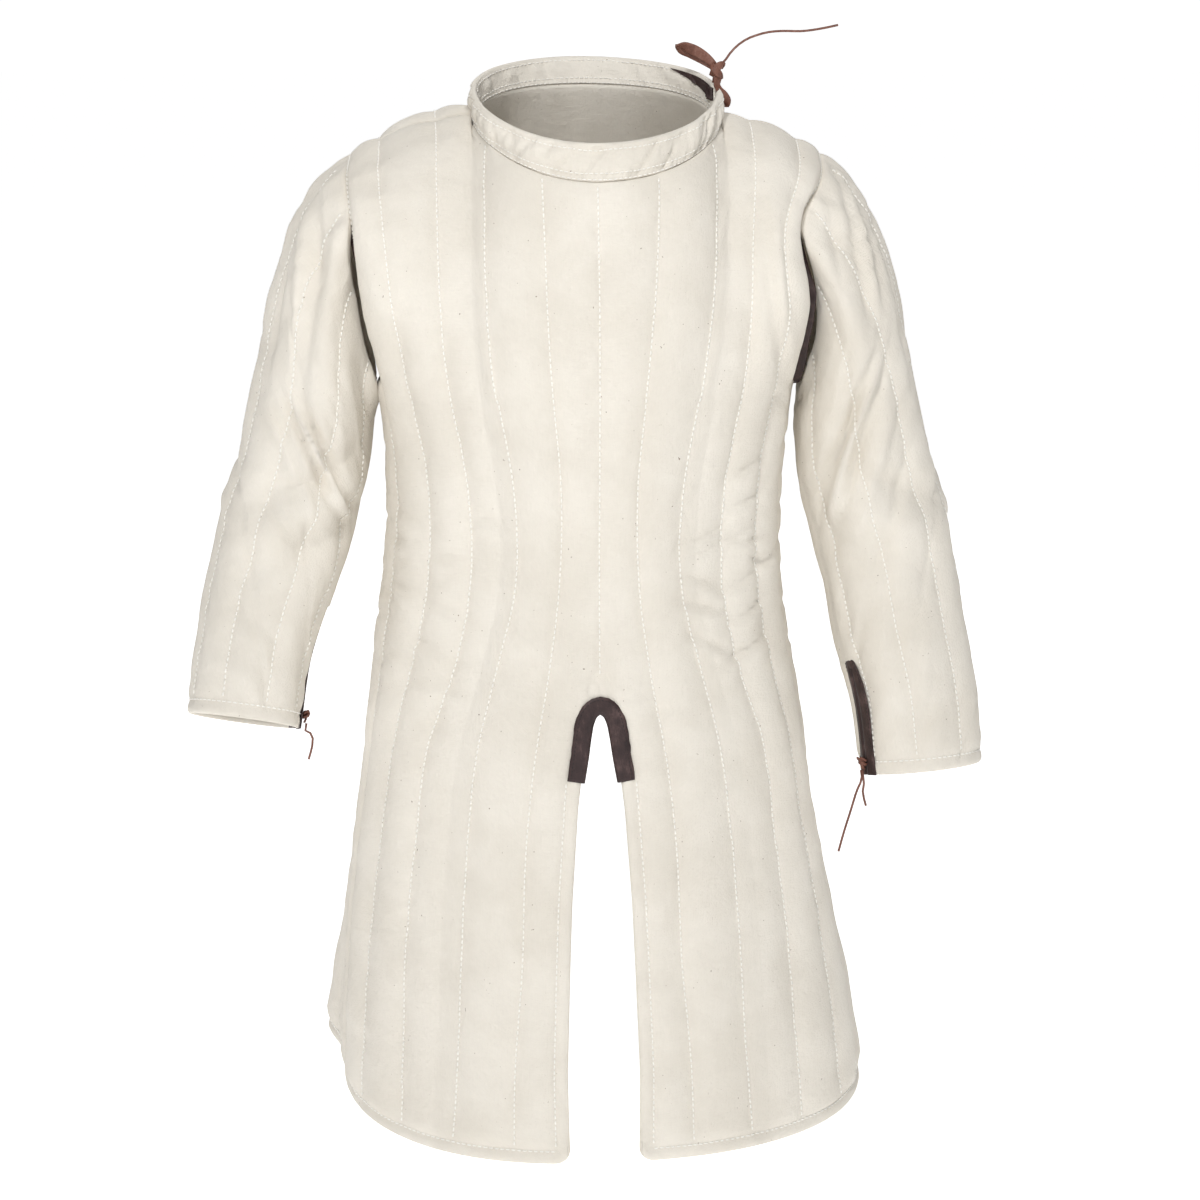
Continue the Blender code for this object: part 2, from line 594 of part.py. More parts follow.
def sleeve_loop(panels, side):
    """Top edge of a sleeve: points, normals and share of the way down, tip first.

    The first half runs over the front and the second half over the back.
    """
    halves = []
    for face in (-1, 1):
        panel = panels[face]
        edge = panel.columns.index(5 * side)
        end = len(YOKE_ROWS)
        seam = panel.columns.index(6 * side)
        path = [panel.points[r, edge].copy() for r in range(end + 1)]
        directions = [panel.normals[r, edge].copy() for r in range(end + 1)]
        corner = panel.columns.index(side * 17 / 3)
        path += [panel.points[end, corner].copy(), panel.points[end, seam].copy()]
        directions += [panel.normals[end, corner].copy(), panel.normals[end, seam].copy()]
        halves.append((np.array(path), np.array(directions)))
    loops = []
    for path, directions in halves:
        path[0, 1] = 0
        path[-1, 1] = 0
        free = path[NOTCH_ROW:]
        run = np.concatenate([[0], np.cumsum(np.linalg.norm(np.diff(free, axis=0), axis=1))])
        wanted = np.linspace(0, run[-1], FREE_COLUMNS + 2)[1:]
        along = [np.interp(wanted, run, free[:, k]) for k in range(3)]
        along_n = [np.interp(wanted, run, directions[NOTCH_ROW:, k]) for k in range(3)]
        points = np.vstack([path[:NOTCH_ROW + 1], np.stack(along, -1)])
        normals = unit(np.vstack([directions[:NOTCH_ROW + 1], np.stack(along_n, -1)]))
        loops.append((points, normals))
    (front, front_n), (back, back_n) = loops
    points = np.vstack([front[:-1], back[::-1][:-1]])
    normals = np.vstack([front_n[:-1], back_n[::-1][:-1]])
    return points, normals


class Sleeve:
    """One sleeve: a tube hung on the armhole, open at the armpit, cuff and cuff slit."""

    def __init__(self, panels, side):
        self.side = side
        self.rows = ARMS[side]
        self.drops = column_of(self.rows, "drop")
        loop, loop_n = sleeve_loop(panels, side)
        count = len(loop)
        self.half = count // 2
        index = np.arange(count)
        signed = np.where(index <= self.half, -index, count - index)
        order = np.argsort(signed)
        self.labels = [int(k) for k in signed[order]]
        loop, loop_n = loop[order], loop_n[order]
        spots = [self.labels.index(SLEEVE_SLIT[side])]
        self.slit_column = spots[0]
        self.labels.insert(self.slit_column + 1, SLEEVE_SLIT[side])
        loop = np.insert(loop, self.slit_column + 1, loop[self.slit_column], axis=0)
        loop_n = np.insert(loop_n, self.slit_column + 1, loop_n[self.slit_column], axis=0)
        along = loop[(self.slit_column + 2) % len(loop)] - loop[self.slit_column - 1]
        loop[self.slit_column] = loop[self.slit_column] - unit(along) * CUFF_SLIT_HALF
        loop[self.slit_column + 1] = loop[self.slit_column + 1] + unit(along) * CUFF_SLIT_HALF
        self.build_points(loop, loop_n)

    def ring_point(self, drop, column):
        """Point of a sleeve's section at a drop of its centre line."""
        def centre(at):
            x, y = (float(smooth(self.drops, column_of(self.rows, k), at)) for k in ("x", "y"))
            return np.array([self.side * x, y, -at])
        wide, deep = (float(smooth(self.drops, column_of(self.rows, k), drop)) for k in ("wide", "deep"))
        low, high = max(drop - 0.01, self.drops[0]), min(drop + 0.01, self.drops[-1])
        down = unit(centre(high) - centre(low))
        ease = min((drop - self.drops[0]) / 0.06, 1)
        down = unit(down * ease + np.array([0, 0, -1]) * (1 - ease))
        outward = unit(np.array([self.side, 0, 0]) - down * down[0] * self.side)
        forward = unit(np.cross(down, outward)) * -self.side
        forward = forward * math.copysign(1, forward[1])
        degrees = SLEEVE_TURN[self.side] + SLEEVE_STEP * self.labels[column]
        turn = math.radians(degrees)
        across = outward * math.cos(turn) * wide + forward * math.sin(turn) * deep
        push = 0.0
        for fold in FOLDS[self.side]:
            off = (degrees - fold.turn + 180) % 360 - 180
            level = drop - fold.drop - fold.slant * off
            push += fold.height * math.exp(-(off / fold.reach_turn) ** 2 - (level / fold.reach_drop) ** 2)
        return centre(drop) + across + unit(across) * push

    def build_points(self, loop, loop_n):
        """Work out the tube's middle surface and its two faces."""
        columns = len(self.labels)
        first, last = self.drops[0], self.drops[-1]
        levels = list(np.linspace(first, last - CUFF_HEM, ARM_RINGS)) + [last]
        slit_from = last - CUFF_SLIT_LENGTH
        nearest = int(np.argmin([abs(level - slit_from) for level in levels]))
        levels[nearest] = slit_from
        self.slit_row = HEAD_RINGS + nearest
        lower = np.array([[self.ring_point(level, c) for c in range(columns)] for level in levels])
        for k in range(len(levels)):
            one, two = lower[k, self.slit_column].copy(), lower[k, self.slit_column - 1]
            three = lower[k, (self.slit_column + 2) % columns]
            along = unit(three - two)
            lower[k, self.slit_column] = one - along * CUFF_SLIT_HALF
            lower[k, self.slit_column + 1] = one + along * CUFF_SLIT_HALF
        edge, edge_n, cap = self.top_edge(loop, loop_n)
        grid = [edge]
        for k in range(1, HEAD_RINGS):
            grid.append(np.array([self.head_point(edge[c], lower[0, c], lower[1, c], c, k / HEAD_RINGS)
                                  for c in range(columns)]))
        self.points = np.vstack([np.array(grid), lower])
        self.cells = np.ones((len(self.points) - 1, columns), bool)
        self.cells[self.slit_row:, self.slit_column] = False
        outward = vertex_normals(self.points, self.cells, wrap=True) * self.outward_sign()
        outward[0] = unit(outward[0] * (1 - cap[:, None]) + edge_n * cap[:, None])
        self.normals = outward
        heights = np.zeros(self.points.shape[:2])
        for r in range(1, len(self.points) - 2):
            for c, label in enumerate(self.labels):
                share = ((label + 1) % 3) / 3
                fade = min(r / 2, 1)
                heights[r, c] = PUFF * fade * math.sin(math.pi * share) ** PUFF_ROUND
        heights[self.slit_row:, self.slit_column:self.slit_column + 2] = 0
        self.outer = self.points + self.normals * (WALL_HALF + heights)[..., None]
        self.inner = self.points - self.normals * WALL_HALF

    def mirrored(self):
        """Marks of the columns on the first side of the slit."""
        count = len(self.labels)
        return [(column - self.slit_column) % count >= count // 2 for column in range(count)]

    def outward_sign(self):
        """Sign that turns the grid's own normals out of the tube."""
        centre = self.points[-1].mean(axis=0)
        trial = vertex_normals(self.points, self.cells, wrap=True)[-1]
        return math.copysign(1, float(np.sum(trial * (self.points[-1] - centre))))

    def top_edge(self, loop, loop_n):
        """Seam edge over the shoulder and free edge round the armpit."""
        columns = len(self.labels)
        edge = loop.copy()
        cap = np.zeros(columns)
        for c, label in enumerate(self.labels):
            place = abs(label)
            before, after = loop[c - 1], loop[(c + 1) % columns]
            free = max(place - CAP_COLUMNS, 0) / (self.half - CAP_COLUMNS)
            off = np.cross(unit(after - before), loop_n[c])
            off = unit(off) * math.copysign(1, off[0] * self.side)
            if free > 0:
                off = unit(off * (1 - free) + np.array([self.side, 0, 0]) * free)
            swell = math.sin(math.pi * min(free, 0.76)) ** 0.8 if free > 0 else 0
            cap[c] = 1 if place <= CAP_COLUMNS else max(1 - free * 3, 0)
            edge[c] = loop[c] + off * (SLEEVE_GAP + FREE_EDGE_OFF[self.side] * swell)
        return edge, loop_n, cap

    def head_point(self, top, bottom, below, column, share):
        """Point of the sleeve head between its edge and the first whole section."""
        label = self.labels[column]
        part = abs(label) / self.half
        reach = np.linalg.norm(bottom - top)
        radial = unit([0, top[1], top[2] - ARMHOLE_CENTRE])
        start = unit(np.array([self.side * (1 - 0.62 * part), 0.45 * radial[1], -0.50 - 0.60 * part]))
        return hermite(top, start * reach * 0.9, bottom, unit(below - bottom) * reach, share)


def edge_band(stations, thickness):
    """Profiles of a leather strip folded over the free edge of a wall.

    Each station is (outer far, outer edge, inner edge, inner far, far normal, edge normal, outward).
    """
    profiles = []
    near, far = SEAT, SEAT + thickness
    for outer_far, outer_edge, inner_edge, inner_far, far_n, edge_n, out in stations:
        profiles.append([
            outer_far + far_n * near,
            outer_edge + edge_n * near + out * near,
            inner_edge - edge_n * near + out * near,
            inner_far - far_n * near,
            inner_far - far_n * far,
            inner_edge - edge_n * far + out * far,
            outer_edge + edge_n * far + out * far,
            outer_far + far_n * far,
        ])
    return profiles


def grid_station(grid, edge, far, out):
    """Station of a leather strip from an edge place and a far place of a wall's grid."""
    normal = grid.normals[edge]
    out = unit(out - normal * np.dot(out, normal))
    return (grid.outer[far], grid.outer[edge], grid.inner[edge], grid.inner[far],
            grid.normals[far], normal, out)


def folded_strip(grid, one, two, middle):
    """Leather strip folded over a slit's edge: up one leg, over the top and down the other.

    A leg is (edge column, far column, rows from its foot up to the slit's top corner).
    The middle holds the columns of the top edge between the two corners.
    """
    stations, leaning = [], []
    legs = []
    for edge, far, rows in (one, two):
        leg = []
        for row in rows[:-1]:
            out = grid.points[row, edge] - grid.points[row, far]
            leg.append(grid_station(grid, (row, edge), (row, far), out))
        top = rows[-1]
        out = grid.points[top, edge] - grid.points[top - 1, far]
        leg.append(grid_station(grid, (top, edge), (top, far), out))
        leg.append(grid_station(grid, (top, edge), (top - 1, edge), out))
        legs.append(leg)
    stations = list(legs[0])
    leaning = [True] * (len(legs[0]) - 1)
    for column in middle:
        top = one[2][-1]
        out = grid.points[top, column] - grid.points[top - 1, column]
        stations.append(grid_station(grid, (top, column), (top - 1, column), out))
    leaning += [False] * len(middle) + [True]
    stations += legs[1][::-1]
    leaning += [False] * (len(legs[1]) - 1)
    return edge_band(stations, LEATHER), leaning


def slit_binding(panel):
    """Leather round the top of the centre slit."""
    rows = list(range(panel.row_at(SLIT_LEATHER_END), panel.row_at(SLIT_TOP) - 1, -1))
    legs = [(panel.columns.index(s * EDGE_AT), panel.columns.index(s * STITCH_AT), rows) for s in (-1, 1)]
    return folded_strip(panel, *legs, [panel.centre])


def cuff_binding(sleeve):
    """Leather round the cuff slit: up one edge, over its top and down the other."""
    columns = len(sleeve.labels)
    one, two = sleeve.slit_column, sleeve.slit_column + 1
    rows = list(range(len(sleeve.points) - 1, sleeve.slit_row - 1, -1))
    legs = [(one, (one - 1) % columns, rows), (two, (two + 1) % columns, rows)]
    return folded_strip(sleeve, *legs, [])


def armhole_facing(panels, side):
    """Leather strip sewn to the free edge of the armhole, from notch to notch."""
    end = len(YOKE_ROWS)
    stations = []
    for panel in (panels[-1], panels[1]):
        edge, *rest = (panel.columns.index(side * k) for k in (5, 16 / 3, 17 / 3, 6))
        path = [(row, edge) for row in range(NOTCH_ROW, end + 1)] + [(end, k) for k in rest]
        half = []
        for before, place, after in zip(path, path[1:], path[2:]):
            normal = panel.normals[place]
            along = panel.points[after] - panel.points[before]
            out = unit(np.cross(normal, along)) * side * -panel.face
            half.append((panel.inner[place], normal, out))
        stations += half if not stations else half[::-1]
    profiles = []
    for k, (edge, normal, out) in enumerate(stations):
        share = k / (len(stations) - 1)
        base = edge + normal * SEAT + out * FACING_SEAT
        reach = out * FACING_OUT[side] * (0.35 + 0.65 * math.sin(math.pi * share))
        profiles.append([base, base + reach, base + reach + normal * LEATHER, base + normal * LEATHER])
    return profiles


class Collar:
    """Standing collar: a band round the neckline, open at the wearer's left."""

    def __init__(self, panels):
        base, normals, turns = self.neckline(panels)
        ahead = np.roll(base, -1, axis=0)
        behind = np.roll(base, 1, axis=0)
        ahead[-1], behind[0] = base[-1], base[0]
        along = unit(ahead - behind)
        up = unit(np.cross(along, normals))
        up = up * np.sign(up[:, 2:3])
        rise = np.array([[0, smooth(column_of(RISES, "turn"), column_of(RISES, "back"), turn),
                          smooth(column_of(RISES, "turn"), column_of(RISES, "up"), turn)] for turn in turns])
        across = unit(np.cross(rise, along))
        across = across * np.sign(np.sum(across * normals, axis=1, keepdims=True))
        foot = base + up * SLEEVE_GAP
        self.points = np.array([foot + rise * share for share in COLLAR_ROWS])
        mixes = [min(share / COLLAR_ROWS[2], 1) for share in COLLAR_ROWS]
        self.normals = np.array([unit(normals * (1 - mix) + across * mix) for mix in mixes])
        self.cells = np.ones((len(COLLAR_ROWS) - 1, len(turns) - 1), bool)
        swell = np.array(COLLAR_SWELLS)[:, None] * np.ones(len(turns))
        self.outer = self.points + self.normals * (WALL_HALF + swell)[..., None]
        self.inner = self.points - self.normals * WALL_HALF
        run = (len(turns) + 1) // 4
        self.mirrored = [c // run % 2 == 0 for c in range(len(turns) - 1)]

    @staticmethod
    def neckline(panels):
        """Places of the panels' necklines in a row, from the opening's back end to its front end."""
        row = []
        back, front = panels[1], panels[-1]
        neck = [k for k in HALF_COLUMNS if k <= NECK_END]
        turn_of = dict(zip(neck, np.interp(neck, [0, 1, 2, NECK_END], [0, 27, 65, 90])))
        for k in reversed(neck):
            row.append((back, k, 180 - turn_of[k]))
        for k in neck[1:-1]:
            row.append((back, -k, 180 + turn_of[k]))
        for k in reversed(neck):
            row.append((front, -k, 360 - turn_of[k]))
        for k in neck[1:]:
            row.append((front, k, 360 + turn_of[k]))
        base = np.array([panel.points[0, panel.columns.index(k)] for panel, k, _ in row])
        normals = np.array([panel.normals[0, panel.columns.index(k)] for panel, k, _ in row])
        turns = np.array([turn for _, _, turn in row])
        base[0] = base[0] + (base[1] - base[0]) * COLLAR_OPEN_SHARE
        normals[0] = unit(normals[0] + (normals[1] - normals[0]) * COLLAR_OPEN_SHARE)
        turns[0] = turns[0] + (turns[1] - turns[0]) * COLLAR_OPEN_SHARE
        return base, normals, turns


def collar_facing(collar):
    """Leather strip inside the collar's back end, beside the opening."""
    profiles = []
    for column in range(COLLAR_FACING_COLUMNS):
        places = [(collar.inner[row, column], collar.normals[row, column]) for row in COLLAR_FACING_ROWS]
        near = [point - normal * SEAT for point, normal in places]
        far = [point - normal * (SEAT + LEATHER) for point, normal in reversed(places)]
        profiles.append(near + far)
    return profiles


def tie_profiles(rows, centre, across, up, facing):
    """Profiles of a tied lace: loop, knot and loop, drawn in the plane square to facing."""
    places = [centre + across * row.across + up * row.up for row in rows]
    profiles = []
    for k, row in enumerate(rows):
        along = places[min(k + 1, len(rows) - 1)] - places[max(k - 1, 0)]
        side = unit(np.cross(along, facing))
        turns = [2 * math.pi * i / TIE_SIDES for i in range(TIE_SIDES)]
        profiles.append([places[k] + side * math.cos(turn) * row.wide + facing * math.sin(turn) * row.thick
                         for turn in turns])
    return profiles


def cuff_knot(sleeve):
    """Centre and directions of the knot that lies over the foot of the cuff slit."""
    row = len(sleeve.points) - 2
    pair = (sleeve.slit_column, sleeve.slit_column + 1)
    surface = sum(sleeve.outer[row, k] for k in pair) / 2
    facing = unit(sum(sleeve.normals[row, k] for k in pair))
    up = unit(sleeve.points[row - 1, pair[0]] - sleeve.points[row, pair[0]])
    up = unit(up - facing * np.dot(up, facing))
    centre = surface + facing * (SEAT + LEATHER + SEAT + CUFF_TIE_HALF)
    across = np.cross(up, facing) * sleeve.side
    return centre, across, up, facing


def lace(name, route, collection):
    """Round lace along a smooth curve through its route."""
    route = np.array(route, float)
    run = np.concatenate([[0], np.cumsum(np.linalg.norm(np.diff(route, axis=0), axis=1))])
    count = max(int(run[-1] / (LACE_RADIUS * 2 * 2.5)), 6)
    places = [smooth(run, route, at) for at in np.linspace(0, run[-1], count)]
    curve = bpy.data.curves.new(name, "CURVE")
    curve.dimensions = "3D"
    curve.bevel_depth = LACE_RADIUS
    curve.bevel_resolution = 2
    curve.use_fill_caps = True
    spline = curve.splines.new("POLY")
    spline.points.add(len(places) - 1)
    for point, place in zip(spline.points, places):
        point.co = (*place, 1)
    return add_piece(collection, name, curve, LACE_LEATHER, 0.6)


def main():
    """Build every piece of the coat."""
    for old in list(bpy.data.objects):
        bpy.data.objects.remove(old, do_unlink=True)
    coat = bpy.data.collections.new("gambeson")
    bpy.context.scene.collection.children.link(coat)
    panels = {-1: Panel(-1), 1: Panel(1)}
    for face, name in ((-1, "front"), (1, "back")):
        panel = panels[face]
        mirrored = [column < 0 for column in panel.columns[:-1]]
        mesh = wall_mesh(name, panel.outer, panel.inner, panel.cells, mirrored)
        add_piece(coat, name, mesh, CREAM)
        title = name + "_slit_binding"
        add_piece(coat, title, loft_mesh(title, *slit_binding(panel)), DARK_LEATHER, 0.6)
    for side, name in ((-1, "right"), (1, "left")):
        sleeve = Sleeve(panels, side)
        mirrored = sleeve.mirrored()
        mesh = wall_mesh("sleeve_" + name, sleeve.outer, sleeve.inner, sleeve.cells, mirrored, wrap=True)
        add_piece(coat, "sleeve_" + name, mesh, CREAM)
        title = "cuff_binding_" + name
        add_piece(coat, title, loft_mesh(title, *cuff_binding(sleeve)), DARK_LEATHER, 0.6)
        knot, across, up, facing = cuff_knot(sleeve)
        title = "cuff_lace_" + name
        add_piece(coat, title, loft_mesh(title, tie_profiles(CUFF_TIE, knot, across, up, facing)),
                  LACE_LEATHER, 0.6)
        for title, tail in CUFF_TAILS.items():
            if title.startswith(name):
                start = knot + across * tail.across - up * TAIL_BELOW_KNOT
                route = [start, start - up * TAIL_STRAIGHT, *(knot + np.array(tail.route))]
                lace("cuff_tail_" + title, route, coat)
        title = "armhole_facing_" + name
        add_piece(coat, title, loft_mesh(title, armhole_facing(panels, side)), DARK_LEATHER, 0.6)
    collar = Collar(panels)
    mesh = wall_mesh("collar", collar.outer, collar.inner, collar.cells, collar.mirrored)
    add_piece(coat, "collar", mesh, CREAM)
    add_piece(coat, "collar_facing", loft_mesh("collar_facing", collar_facing(collar)), DARK_LEATHER, 0.6)
    tie = tie_profiles(COLLAR_TIE, np.array([0, COLLAR_TIE_Y, 0]), np.array([1, 0, 0]), np.array([0, 0, 1]),
                       np.array([0, -1, 0]))
    add_piece(coat, "collar_lace", loft_mesh("collar_lace", tie), LACE_LEATHER, 0.6)
    lace("collar_tail", COLLAR_TAIL, coat)


main()
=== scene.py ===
"""Dressed model of a quilted cotton arming coat in worn form, built around its frame.

Lengths are in metres, +Z is up, the front faces -Y and the wearer's left is +X. A drop is a
distance below the neck point of the shoulders, where the origin is.
"""
import logging
import math
from dataclasses import dataclass, field
from enum import Enum
from typing import Any, NamedTuple, Optional, Sequence, Union

import bpy
import numpy as np
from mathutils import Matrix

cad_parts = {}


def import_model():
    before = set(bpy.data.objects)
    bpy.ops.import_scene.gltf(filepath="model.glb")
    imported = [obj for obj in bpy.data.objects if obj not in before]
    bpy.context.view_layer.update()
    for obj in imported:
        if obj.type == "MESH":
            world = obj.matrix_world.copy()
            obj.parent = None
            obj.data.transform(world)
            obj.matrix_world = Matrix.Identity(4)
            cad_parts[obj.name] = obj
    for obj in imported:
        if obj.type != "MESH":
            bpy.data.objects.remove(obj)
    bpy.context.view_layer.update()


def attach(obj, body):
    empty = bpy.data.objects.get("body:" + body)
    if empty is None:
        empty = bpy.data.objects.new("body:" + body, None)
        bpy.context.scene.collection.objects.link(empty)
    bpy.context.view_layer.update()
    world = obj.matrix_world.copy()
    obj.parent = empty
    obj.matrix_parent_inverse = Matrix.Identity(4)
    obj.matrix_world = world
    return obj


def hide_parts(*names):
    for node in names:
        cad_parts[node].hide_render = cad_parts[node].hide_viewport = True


Array = np.ndarray
Path = list[tuple[float, float, float]]
log = logging.getLogger("coat")


class Side(Enum):
    """Side of the wearer; the value is the sign of X."""

    RIGHT = -1
    LEFT = 1


class Face(Enum):
    """Face of the body; the value is the sign of Y."""

    FRONT = -1
    BACK = 1


# Curves and numbers over arrays


def unit(vectors: Any) -> Array:
    """Give vectors the length one.

    Args:
        vectors: one vector, or an array of them along its last axis.

    Returns:
        The vectors, each of length one.
    """
    vectors = np.asarray(vectors, float)
    return vectors / np.maximum(np.linalg.norm(vectors, axis=-1, keepdims=True), 1e-12)


def hermite(start: Any, start_slope: Any, end: Any, end_slope: Any, share: Any) -> Any:
    """Point on the cubic between two points.

    Args:
        start: first point.
        start_slope: slope there, for the whole span.
        end: last point.
        end_slope: slope there, for the whole span.
        share: way along the span, 0 to 1.

    Returns:
        The point, or an array of them.
    """
    a, b = share * share, share * share * share
    return ((2 * b - 3 * a + 1) * start + (b - 2 * a + share) * start_slope
            + (3 * a - 2 * b) * end + (b - a) * end_slope)


def smooth(knots: Sequence[float], values: Any, at: Any) -> Array:
    """Value of a smooth curve through the rows of a table.

    Args:
        knots: rising places of the rows.
        values: number or vector of each row.
        at: place or places to read.

    Returns:
        The value at each place.
    """
    knots = np.asarray(knots, float)
    values = np.asarray(values, float)
    at = np.asarray(at, float)
    slopes = np.gradient(values, knots, axis=0)
    i = np.clip(np.searchsorted(knots, at) - 1, 0, len(knots) - 2)
    span = knots[i + 1] - knots[i]
    share = np.clip((at - knots[i]) / span, 0, 1)
    if values.ndim > 1:
        span, share = span[..., None], share[..., None]
    return hermite(values[i], slopes[i] * span, values[i + 1], slopes[i + 1] * span, share)


def column_of(rows: Sequence[Any], name: str) -> list[float]:
    """One named column of a table."""
    return [getattr(row, name) for row in rows]


def nearest(places: Array, wanted: float) -> int:
    """Number of the place nearest to a wanted one."""
    return int(np.argmin(np.abs(places - wanted)))


def read(at: Any, run: Array, table: Array) -> Array:
    """Rows of a table of vectors at distances along it, in straight steps."""
    return np.stack([np.interp(at, run, table[:, k]) for k in range(3)], -1)


def eased(vectors: Array, span: int) -> Array:
    """Vectors made even over a span of neighbours."""
    half = span // 2
    pad = np.vstack([vectors[:1]] * half + [vectors] + [vectors[-1:]] * half)
    return unit(np.stack([np.convolve(pad[:, k], np.ones(span) / span, "valid") for k in range(3)], -1))


def clustered(start: float, end: float, cells: int, pull: float = .5) -> list[float]:
    """Places between two ends, closer together near them.

    Args:
        start: first place.
        end: place after the last one.
        cells: how many places.
        pull: 0 for even steps, up to 1 for the most crowding.

    Returns:
        The places, without the end itself.
    """
    share = np.arange(cells) / cells
    share = share - pull * np.sin(2 * math.pi * share) / (2 * math.pi)
    return list(start + (end - start) * share)


def lattice(seed: int, i: Array, j: Array) -> Array:
    """Fixed pseudo-random number from 0 to 1 for each whole place of a plane."""
    mixed = np.sin(i * 127.1 + j * 311.7 + seed * 74.7) * 43758.5453
    return mixed - np.floor(mixed)


def ripple(seed: int, u: Array, v: Array) -> Array:
    """Smooth uneven waves over a plane.

    Args:
        seed: which waves.
        u: first coordinate, in wave lengths.
        v: second coordinate, in wave lengths.

    Returns:
        Height from -1 to 1 at each place.
    """
    i, j = np.floor(u), np.floor(v)
    a, b = u - i, v - j
    a, b = a * a * (3 - 2 * a), b * b * (3 - 2 * b)
    low = lattice(seed, i, j) * (1 - a) + lattice(seed, i + 1, j) * a
    high = lattice(seed, i, j + 1) * (1 - a) + lattice(seed, i + 1, j + 1) * a
    return (low * (1 - b) + high * b) * 2 - 1


def wrinkles(seed: int, u: Array, v: Array, sharp: float = .22) -> Array:
    """Narrow troughs that wander over a plane.

    Args:
        seed: which troughs.
        u: first coordinate, in wave lengths.
        v: second coordinate, in wave lengths.
        sharp: share of a wave that a trough takes.

    Returns:
        Height from -1 in the troughs to 0 between them.
    """
    return -np.exp(-(ripple(seed, u, v) / sharp) ** 2)


def running(points: Array, axis: int = 0) -> Array:
    """Distance along rows or columns of points, from the first one."""
    steps = np.linalg.norm(np.diff(points, axis=axis), axis=-1)
    start = np.zeros_like(np.take(steps, [0], axis=axis))
    return np.concatenate([start, np.cumsum(steps, axis=axis)], axis=axis)


def rounded(distance: Array, radius: float) -> Array:
    """Share of full thickness at a distance from an edge that is rounded over a radius."""
    inside = np.clip(1 - distance / radius, 0, 1)
    return np.sqrt(np.maximum(1 - inside * inside, 0))


# Meshes


def new_piece(name: str, points: Any, faces: list, uv: Optional[Array] = None) -> bpy.types.Object:
    """Make a smooth-shaded mesh piece and link it to the coat's collection.

    Args:
        name: name of the piece.
        points: places of its vertices.
        faces: vertex numbers of each face.
        uv: place on the cloth for each vertex, in metres.

    Returns:
        The new piece.
    """
    mesh = bpy.data.meshes.new(name)
    mesh.from_pydata([tuple(map(float, p)) for p in points], [], faces)
    mesh.shade_smooth()
    if uv is not None:
        corner = np.zeros(len(mesh.loops), int)
        mesh.loops.foreach_get("vertex_index", corner)
        layer = mesh.uv_layers.new(name="cloth")
        layer.data.foreach_set("uv", np.asarray(uv, float)[corner].ravel())
    mesh.update()
    piece = bpy.data.objects.new(name, mesh)
    coat_collection().objects.link(piece)
    return piece


def coat_collection() -> bpy.types.Collection:
    """Collection of the dressed pieces, made when first asked for."""
    found = bpy.data.collections.get("dressed_coat")
    if found is None:
        found = bpy.data.collections.new("dressed_coat")
        bpy.context.scene.collection.children.link(found)
    return found


def grid_normals(points: Array, cells: Array, wrap: bool) -> Array:
    """Normals of a grid of points, from the cells that it keeps.

    Args:
        points: grid of places, rows by columns.
        cells: which cells are kept; with wrap there is one for each column.
        wrap: whether the last column joins the first.

    Returns:
        A normal of length one for each place.
    """
    right = np.roll(points, -1, axis=1) if wrap else points[:, 1:]
    left = points if wrap else points[:, :-1]
    cross = np.cross(right[1:] - left[:-1], left[1:] - right[:-1]) * cells[..., None]
    total = np.zeros_like(points)
    span = cells.shape[1]
    for down in (0, 1):
        rows = slice(down, down + cells.shape[0])
        if wrap:
            total[rows] += cross + np.roll(cross, 1, axis=1)
        else:
            total[rows, :span] += cross
            total[rows, 1:] += cross
    return unit(total)


